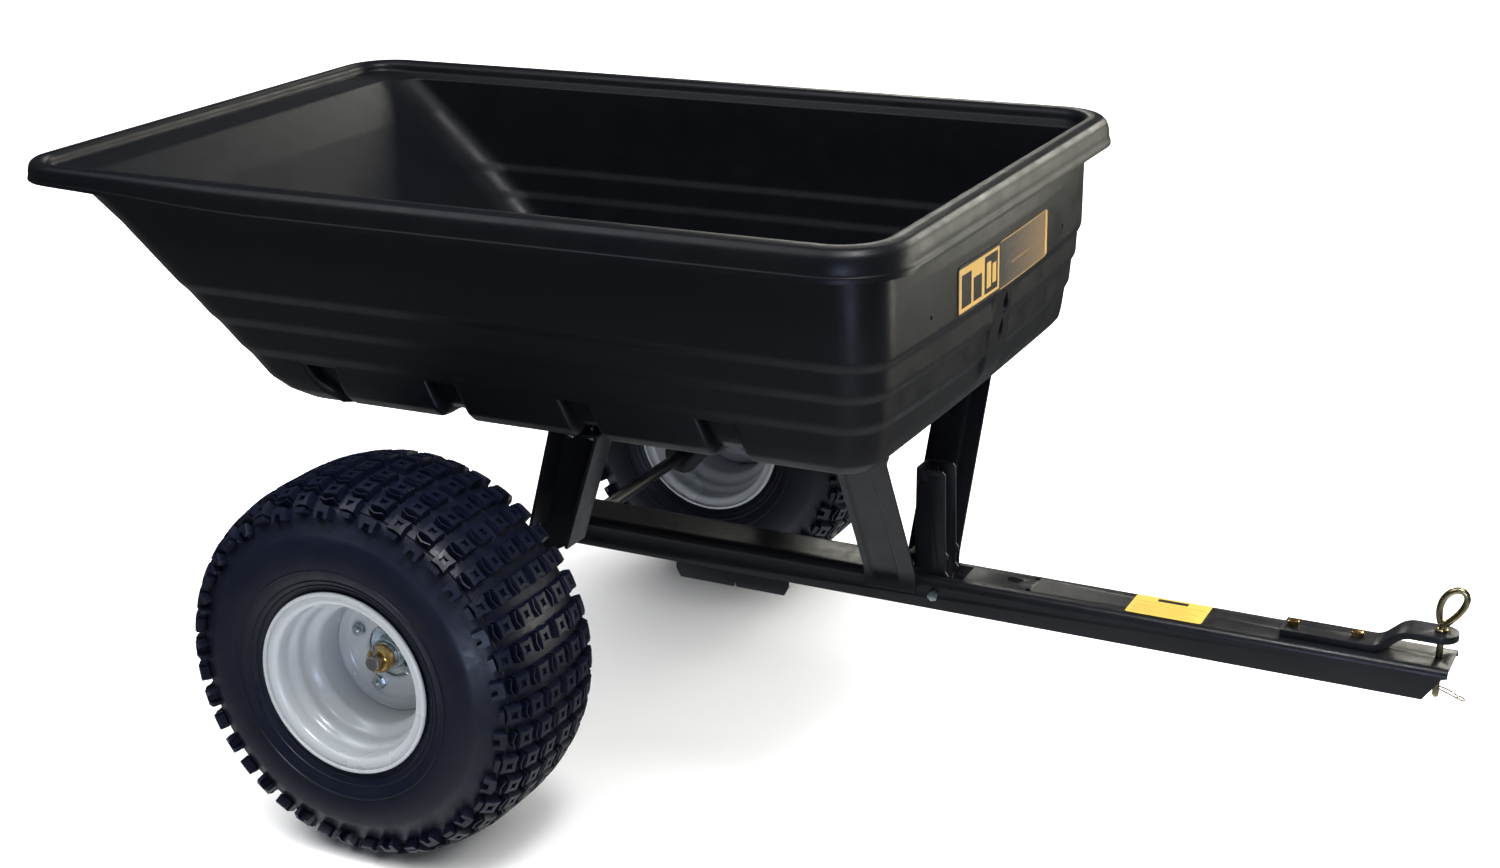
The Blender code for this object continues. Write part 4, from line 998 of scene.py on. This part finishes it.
make_saddle()
for side in SIGN:
    make_bracket(side)
    make_arm(side)
    mid_y = SIGN[side] * (BRACKET_Y + 0.5 * BRACKET_FLANGE)
    make_bed_bolt("floor_bolt_rear_" + side, "bracket_bolt_rear_" + side, BRACKET_BOLT_X[0], mid_y)
    make_bed_bolt("floor_bolt_front_" + side, "bracket_bolt_front_" + side, BRACKET_BOLT_X[1], mid_y)
    make_bed_bolt("floor_bolt_arm_" + side, "arm_bolt_" + side, ARM_MIDDLE + SIGN[side] * ARM_STAGGER,
                  SIGN[side] * ARM_TAB_Y)


# ---- tongue and what is fixed to it ----
HITCH_BOLT_X = (1.000, 1.078)
NOSE, LABEL_R = 0.034, 0.003
STRAP_T, STRAP_RISE = 0.009, 0.0255
TONGUE_REAR, TONGUE_FRONT = -0.045, 1.193


def make_tongue():
    half, low = TONGUE_W / 2 - TONGUE_T / 2, TONGUE_TOP - TONGUE_H
    top = TONGUE_TOP - TONGUE_T / 2
    mesh = channel_bar(half, low, top, TONGUE_REAR, TONGUE_FRONT, 0.009, 10)
    nose = [(TONGUE_FRONT + 0.01, low - 0.01), (TONGUE_FRONT + 0.01, low + NOSE),
            (TONGUE_FRONT - 0.006, low + NOSE - 0.004), (TONGUE_FRONT - NOSE, low - 0.01)]
    down, up = TONGUE_TOP - 0.010, TONGUE_TOP + 0.01
    ragged = [(0.636 + 0.0105 * math.cos(a) * (1 + 0.16 * math.sin(3 * a)),
               0.006 + 0.0090 * math.sin(a) * (1 + 0.22 * math.cos(2 * a + 0.6)))
              for a in [2 * math.pi * k / 28 for k in range(28)]]
    tools = [plate(nose, 0.10, SIDE),
             drum(AXLE_R + GAP, -0.1, 0.1, 40, SIDE, (0, 0, AXLE.z)),
             drum(HOLE_R, -0.1, 0.1, 24, SIDE, (LATCH.translation.x - AXLE.x, 0, LATCH.translation.z)),
             block((0.4990, -0.0235, down), (0.5740, 0.0235, up)),
             drum(0.0050, down, up, 32, LEVEL, (PIN_X, 0, 0)),
             plate(ragged, 0.04, LEVEL, (0, 0, TONGUE_TOP))]
    tools += holes(HOLE_R, down, up, [(x, 0) for x in HITCH_BOLT_X])
    tools += holes(0.0040, down, up, [(0.662, 0.022), (0.662, -0.017)])
    show("tongue_channel", cut(mesh, *tools), STEEL, "chassis", ["tongue"], CART, bevel=0.0006)


def make_splice():
    half = TONGUE_W / 2 - TONGUE_T - GAP - TONGUE_T / 2
    top = TONGUE_TOP - TONGUE_T - GAP - TONGUE_T / 2
    low, rear, front = 0.2005, 0.160, 0.330
    mesh = channel_bar(half, low, top, rear, front, 0.009)
    tools = [plate([(end - way * 0.01, low - 0.01), (end + way * 0.012, low - 0.01),
                    (end - way * 0.002, low + 0.016), (end - way * 0.01, low + 0.016)], 0.1, SIDE)
             for end, way in ((rear, 1), (front, -1))]
    tools.append(plate([(0.245, low - 0.01), (0.255, low - 0.01), (0.250, low + 0.007)], 0.1, SIDE))
    show("splice", cut(mesh, *tools), STEEL, "chassis", ["splice_channel"], CART, bevel=0.0006)


def make_strap():
    t, rise, width = STRAP_T, STRAP_RISE, 0.042
    low, high = TONGUE_TOP + GAP + t / 2, TONGUE_TOP + rise + t / 2
    line = [(0.988, low), (1.106, low), (1.134, high), (1.197, high)]
    mesh = plate(folded(line, t, 0.011, 10), width, SIDE)
    reach = width / 2
    plan = arc((1.197 - reach, 0), reach, -90, 90, 28) + [(0.985, reach + 0.001), (0.985, -reach - 0.001)]
    mesh = cut(mesh, plate(plan, 0.1, LEVEL, (0, 0, 0.28)), operation="INTERSECT")
    down, up = TONGUE_TOP - 0.02, TONGUE_TOP + 0.06
    tools = holes(0.0052, down, up, [(PIN_X, 0)], 32)
    tools += holes(HOLE_R, down, up, [(x, 0) for x in HITCH_BOLT_X])
    show("strap", cut(mesh, *tools), STEEL, "chassis", ["hitch_strap"], CART, bevel=0.0009, segments=3)


def make_hitch_bolts():
    top = TONGUE_TOP + GAP + STRAP_T + GAP
    under = TONGUE_TOP - TONGUE_T - GAP
    for number, x in enumerate(HITCH_BOLT_X, start=1):
        parts = [hexagon(0.0075, top, top + 0.0055, math.radians(15 + 22 * number), 0.0008, (x, 0)),
                 drum(0.0036, under - 0.0095, top + 0.001, 24, LEVEL, (x, 0, 0), 0.0006)]
        show("hitch_screw_%d" % number, joined(*parts), GOLD, "chassis",
             ["hitch_bolt_%d" % number], CART)
        nut = cut(hexagon(0.0075, under - 0.0068, under, 0.2, 0.0008, (x, 0)),
                  drum(0.0040, under - 0.02, under + 0.01, 24, LEVEL, (x, 0, 0)))
        show("hitch_screw_nut_%d" % number, nut, GOLD, "chassis", ["hitch_nut_%d" % number], CART)


def rounded_rectangle(low, high):
    """Outline of a label with rounded corners."""
    (u0, v0), (u1, v1), r = low, high, LABEL_R
    return arc((u1 - r, v1 - r), r, 0, 90, 5) + arc((u0 + r, v1 - r), r, 90, 180, 5) + \
        arc((u0 + r, v0 + r), r, 180, 270, 5) + arc((u1 - r, v0 + r), r, 270, 360, 5)


def make_tongue_label():
    outline = rounded_rectangle((0.794, -0.0290), (0.892, 0.0290))
    mesh = plate(outline, 0.0005, LEVEL, (0, 0, TONGUE_TOP + GAP + 0.0003))
    show("tongue_sticker", mesh, TONGUE_LABEL, "chassis", ["tongue_label"], CART)


def make_front_label():
    """Label bent to the bowed front wall, with rounded corners."""
    height, half, front, _, radius, bow = WALL_LEVELS[2]
    half_w, tall, thick = 0.160, 0.062, 0.0006
    straight = half - radius
    base = height + 0.0005
    columns = 49
    grids = []
    for layer in (0, 1):
        grid = []
        for i in range(columns):
            y = half_w * (2 * i / (columns - 1) - 1)
            edge = min(half_w - abs(y), LABEL_R)
            trim = LABEL_R - math.sqrt(max(0.0, LABEL_R ** 2 - (LABEL_R - edge) ** 2))
            x = front + GAP + bow * (1 - (y / straight) ** 2) + thick * layer
            grid.append([(x, y, z) for z in (base + trim, base + tall / 2, base + tall - trim)])
        grids.append(grid)
    show("front_sticker", slab(*grids), FRONT_LABEL, "bed", ["front_label"], BED)


# ---- hitch pin and clip ----
PIN_R = 0.0042
CLIP_DROP, CLIP_Z = 20.0, -0.0395


def teardrop(width, height, lean, steps):
    points = []
    for i in range(steps + 1):
        a = math.pi * (0.5 + 2 * i / steps)
        u = width / 2 * math.cos(a) * math.sin(a / 2 - math.pi / 4) ** 0.8 if i not in (0, steps) else 0
        v = height * (0.5 - 0.5 * math.sin(a))
        points.append((-u + lean * v, v))
    return points


def make_hitch_pin():
    seat = STRAP_RISE + STRAP_T
    loop = teardrop(0.034, 0.0490, 0.34, 54)[:-6]
    path = [(0, 0, z) for z in (-0.0485, -0.0400, -0.0300, -0.0150, 0, 0.0125, 0.025)]
    path += [(x, 0, seat + 0.0065 + z) for x, z in loop]
    pin = wire(path, PIN_R, 24)
    collar = lathe(blended(ring_section(0.0038, 0.0075, seat + GAP, seat + 0.0035), 0.0008, 3), 40)
    tilt = Matrix.Rotation(math.radians(90 + CLIP_DROP), 4, "Y")
    pin = cut(pin, drum(0.0016, -0.02, 0.02, 16, tilt, (0, 0, CLIP_Z)))
    show("hitch_pin_ring", joined(pin, collar), PIN_GOLD, "hitch_pin", ["hitch_pin"], HITCH)


def make_hair_clip():
    eye = 0.0046
    straight = [(-0.0120, 0), (0, 0), (0.015, 0), (0.029, 0)]
    ring = [(0.0320 + eye * math.sin(a), eye * (1 - math.cos(a)) * 0.9)
            for a in [math.radians(25 * k) for k in range(1, 13)]]
    wave = [(0.0260, 0.0066), (0.0180, 0.0094), (0.0085, 0.0085), (0.0045, 0.0068),
            (-0.0010, 0.0066), (-0.0055, 0.0082), (-0.0085, 0.0105)]
    path = curved([(x, y, 0) for x, y in straight + ring + wave], 5)
    place = HITCH @ Matrix.Translation((0, 0, CLIP_Z)) @ Matrix.Rotation(math.radians(CLIP_DROP), 4, "Y")
    show("clip_wire", wire(path, 0.0010, 14), PIN_GOLD, "hair_clip", ["hair_clip"], place)


# ---- latch ----
LATCH_X = 0.5405


def make_latch_lever():
    """Channel with side ears on the bolt, a hook over the saddle and two slots in its top."""
    at = LATCH.translation
    rear, front = 0.5045 - LATCH_X, 0.5490 - LATCH_X
    low, top = TONGUE_TOP + 0.0055 - at.z, 0.408 - at.z
    t, ear = 0.0030, 0.0105
    cheek = 0.0200 - t / 2
    back = rear + t / 2
    plan = folded([(front + 0.01, -cheek), (back, -cheek), (back, cheek), (front + 0.01, cheek)], t, 0.004, 8)
    body = plate(plan, top + 0.02, LEVEL, (0, 0, top / 2 - 0.010))
    outline = [(rear - 0.01, top), (rear - 0.01, low), (-0.0105, low - 0.006)]
    outline += arc((0, 0), ear, 180, 360, 20)
    outline += [(0.0130, low - 0.006), (front, low), (front, 0.040), (front + 0.0035, 0.044),
                (front + 0.0035, 0.049), (front, 0.053), (front - 0.003, top - 0.004), (front - 0.007, top)]
    body = cut(body, plate(outline, 0.1, SIDE), operation="INTERSECT")
    hook_low = TONGUE_TOP + 0.0120 - at.z
    body = cut(body, block((0.4925 - LATCH_X, -0.0120, hook_low), (rear + 0.0015, 0.0120, hook_low + 0.009)),
               operation="UNION")
    body = cut(body, drum(HOLE_R, -0.05, 0.05, 24, SIDE),
               block((-0.0310, -0.05, top - 0.022), (-0.0245, 0.05, top - 0.0155)),
               block((-0.0190, -0.05, top - 0.0145), (-0.0170, 0.05, top - 0.0085)))
    show("latch_channel", body, STEEL, "latch_lever", ["latch_lever"], LATCH, bevel=0.0005)


def make_latch_bolt():
    half = TONGUE_W / 2 + GAP
    bolt = joined(hexagon(0.0075, half, half + 0.0053, 0.3, 0.0008),
                  drum(0.0038, -half - 0.0150, half + 0.001, 24, edge=0.0006))
    bolt.transform(SIDE)
    show("latch_pivot", bolt, ZINC, "chassis", ["latch_bolt"], LATCH)
    nut = cut(hexagon(0.0075, -half - 0.0068, -half, 0.0, 0.0008), drum(0.0042, -0.1, 0.1, 24))
    nut.transform(SIDE)
    show("latch_pivot_nut", nut, ZINC, "chassis", ["latch_nut"], LATCH)


def make_latch_spring():
    coil, turns = 0.0062, 4
    points = [(coil * 0.2, -0.0078, 0.0148), (coil, -0.0076, 0.006)]
    steps = 24 * turns
    for i in range(steps + 1):
        a = 2 * math.pi * i / 24
        points.append((coil * math.cos(a), -0.0072 + 0.0144 * i / steps, -coil * math.sin(a)))
    points += [(coil * 1.2, 0.0074, 0.006), (coil * 1.6, 0.0076, 0.0148)]
    show("latch_coil", wire(points, 0.0008, 10), BARE, "chassis", ["latch_spring"], LATCH)


make_tongue()
make_splice()
make_strap()
make_hitch_bolts()
make_tongue_label()
make_front_label()
make_hitch_pin()
make_hair_clip()
make_latch_lever()
make_latch_bolt()
make_latch_spring()


# ---- floor, world, lights, camera ----
def make_floor():
    m = Nodes("pale_floor", Specular_IOR_Level=0.1, Roughness=0.9)
    m.link(m.ramp(m.noise(2), (0.3, (0.90, 0.90, 0.90)), (0.7, (0.92, 0.92, 0.92))), "Base Color")
    mesh = bpy.data.meshes.new("floor")
    mesh.from_pydata([(-40, -40, 0), (40, -40, 0), (40, 40, 0), (-40, 40, 0)], [], [(0, 1, 2, 3)])
    mesh.materials.append(m.material)
    floor = linked("floor", mesh)
    floor.location.z = -0.0005
    floor.visible_glossy = False


def area_light(name, place, target, size, power, colour=(1, 1, 1), seen=True):
    """A square soft light; one that isn't seen lights surfaces without a reflection."""
    light = bpy.data.lights.new(name, "AREA")
    light.shape, light.size, light.energy, light.color = "SQUARE", size, power, colour
    lamp = linked(name, light)
    lamp.location = place
    way = Vector(target) - Vector(place)
    lamp.rotation_mode = "QUATERNION"
    lamp.rotation_quaternion = way.to_track_quat("-Z", "Y")
    lamp.visible_glossy = seen


def make_camera():
    azimuth, elevation, roll = math.radians(26.0137), math.radians(19.5985), math.radians(-0.3327)
    back = Vector((math.sin(azimuth) * math.cos(elevation), -math.cos(azimuth) * math.cos(elevation),
                   math.sin(elevation)))
    data = bpy.data.cameras.new("camera")
    data.sensor_width, data.lens = 36.0, 55.70
    camera = linked("camera", data)
    camera.location = (1.5451 + AXLE.x, -2.6386, 1.4567)
    camera.rotation_mode = "QUATERNION"
    camera.rotation_quaternion = (-back).to_track_quat("-Z", "Y") @ Quaternion((0, 0, 1), roll)
    bpy.context.scene.camera = camera


def make_world():
    """A dim studio, bright only straight below, which lights the faces that look down."""
    world = bpy.data.worlds.new("studio")
    world.use_nodes = True
    tree = world.node_tree
    split = tree.nodes.new("ShaderNodeSeparateXYZ")
    tree.links.new(tree.nodes.new("ShaderNodeTexCoord").outputs["Generated"], split.inputs[0])
    bounce = tree.nodes.new("ShaderNodeMapRange")
    for key, value in (("From Min", -0.35), ("From Max", -0.95), ("To Min", 0.045), ("To Max", 0.80)):
        bounce.inputs[key].default_value = value
    tree.links.new(split.outputs["Z"], bounce.inputs["Value"])
    tree.links.new(bounce.outputs["Result"], tree.nodes["Background"].inputs["Strength"])
    tree.nodes["Background"].inputs["Color"].default_value = (0.90, 0.95, 1.0, 1)
    bpy.context.scene.world = world
    bpy.context.scene.view_settings.view_transform = "Standard"


make_floor()
make_world()
area_light("ceiling", (0, 3, 7.0), (0, 3, 0), 20.0, 4600, seen=False)
area_light("key", (1.1, -1.1, 3.4), (0.3, -0.3, 0.7), 0.8, 60)
area_light("top", (-1.5, -1.3, 3.1), (-0.1, -0.2, 0.5), 1.9, 24, (0.93, 0.96, 1.0))
area_light("back_left", (-1.5, 3.9, 2.5), (-0.1, 0, 0.6), 0.8, 18, (1.0, 0.97, 0.86))
area_light("back_right", (1.2, 3.6, 2.2), (0.1, -0.1, 0.4), 1.0, 40, (1.0, 0.95, 0.84))
area_light("side", (2.4, 3.0, 0.9), (0.2, 0, 0.5), 1.6, 38, (1.0, 0.98, 0.84))
area_light("front_low", (2.3, 1.6, 0.15), (0.4, 0.1, 0.5), 0.6, 8, (1.0, 0.97, 0.88))
area_light("low_fill", (1.4, -2.9, 0.30), (0.3, -0.3, 0.5), 0.7, 16, (0.60, 0.70, 1.0))
make_camera()
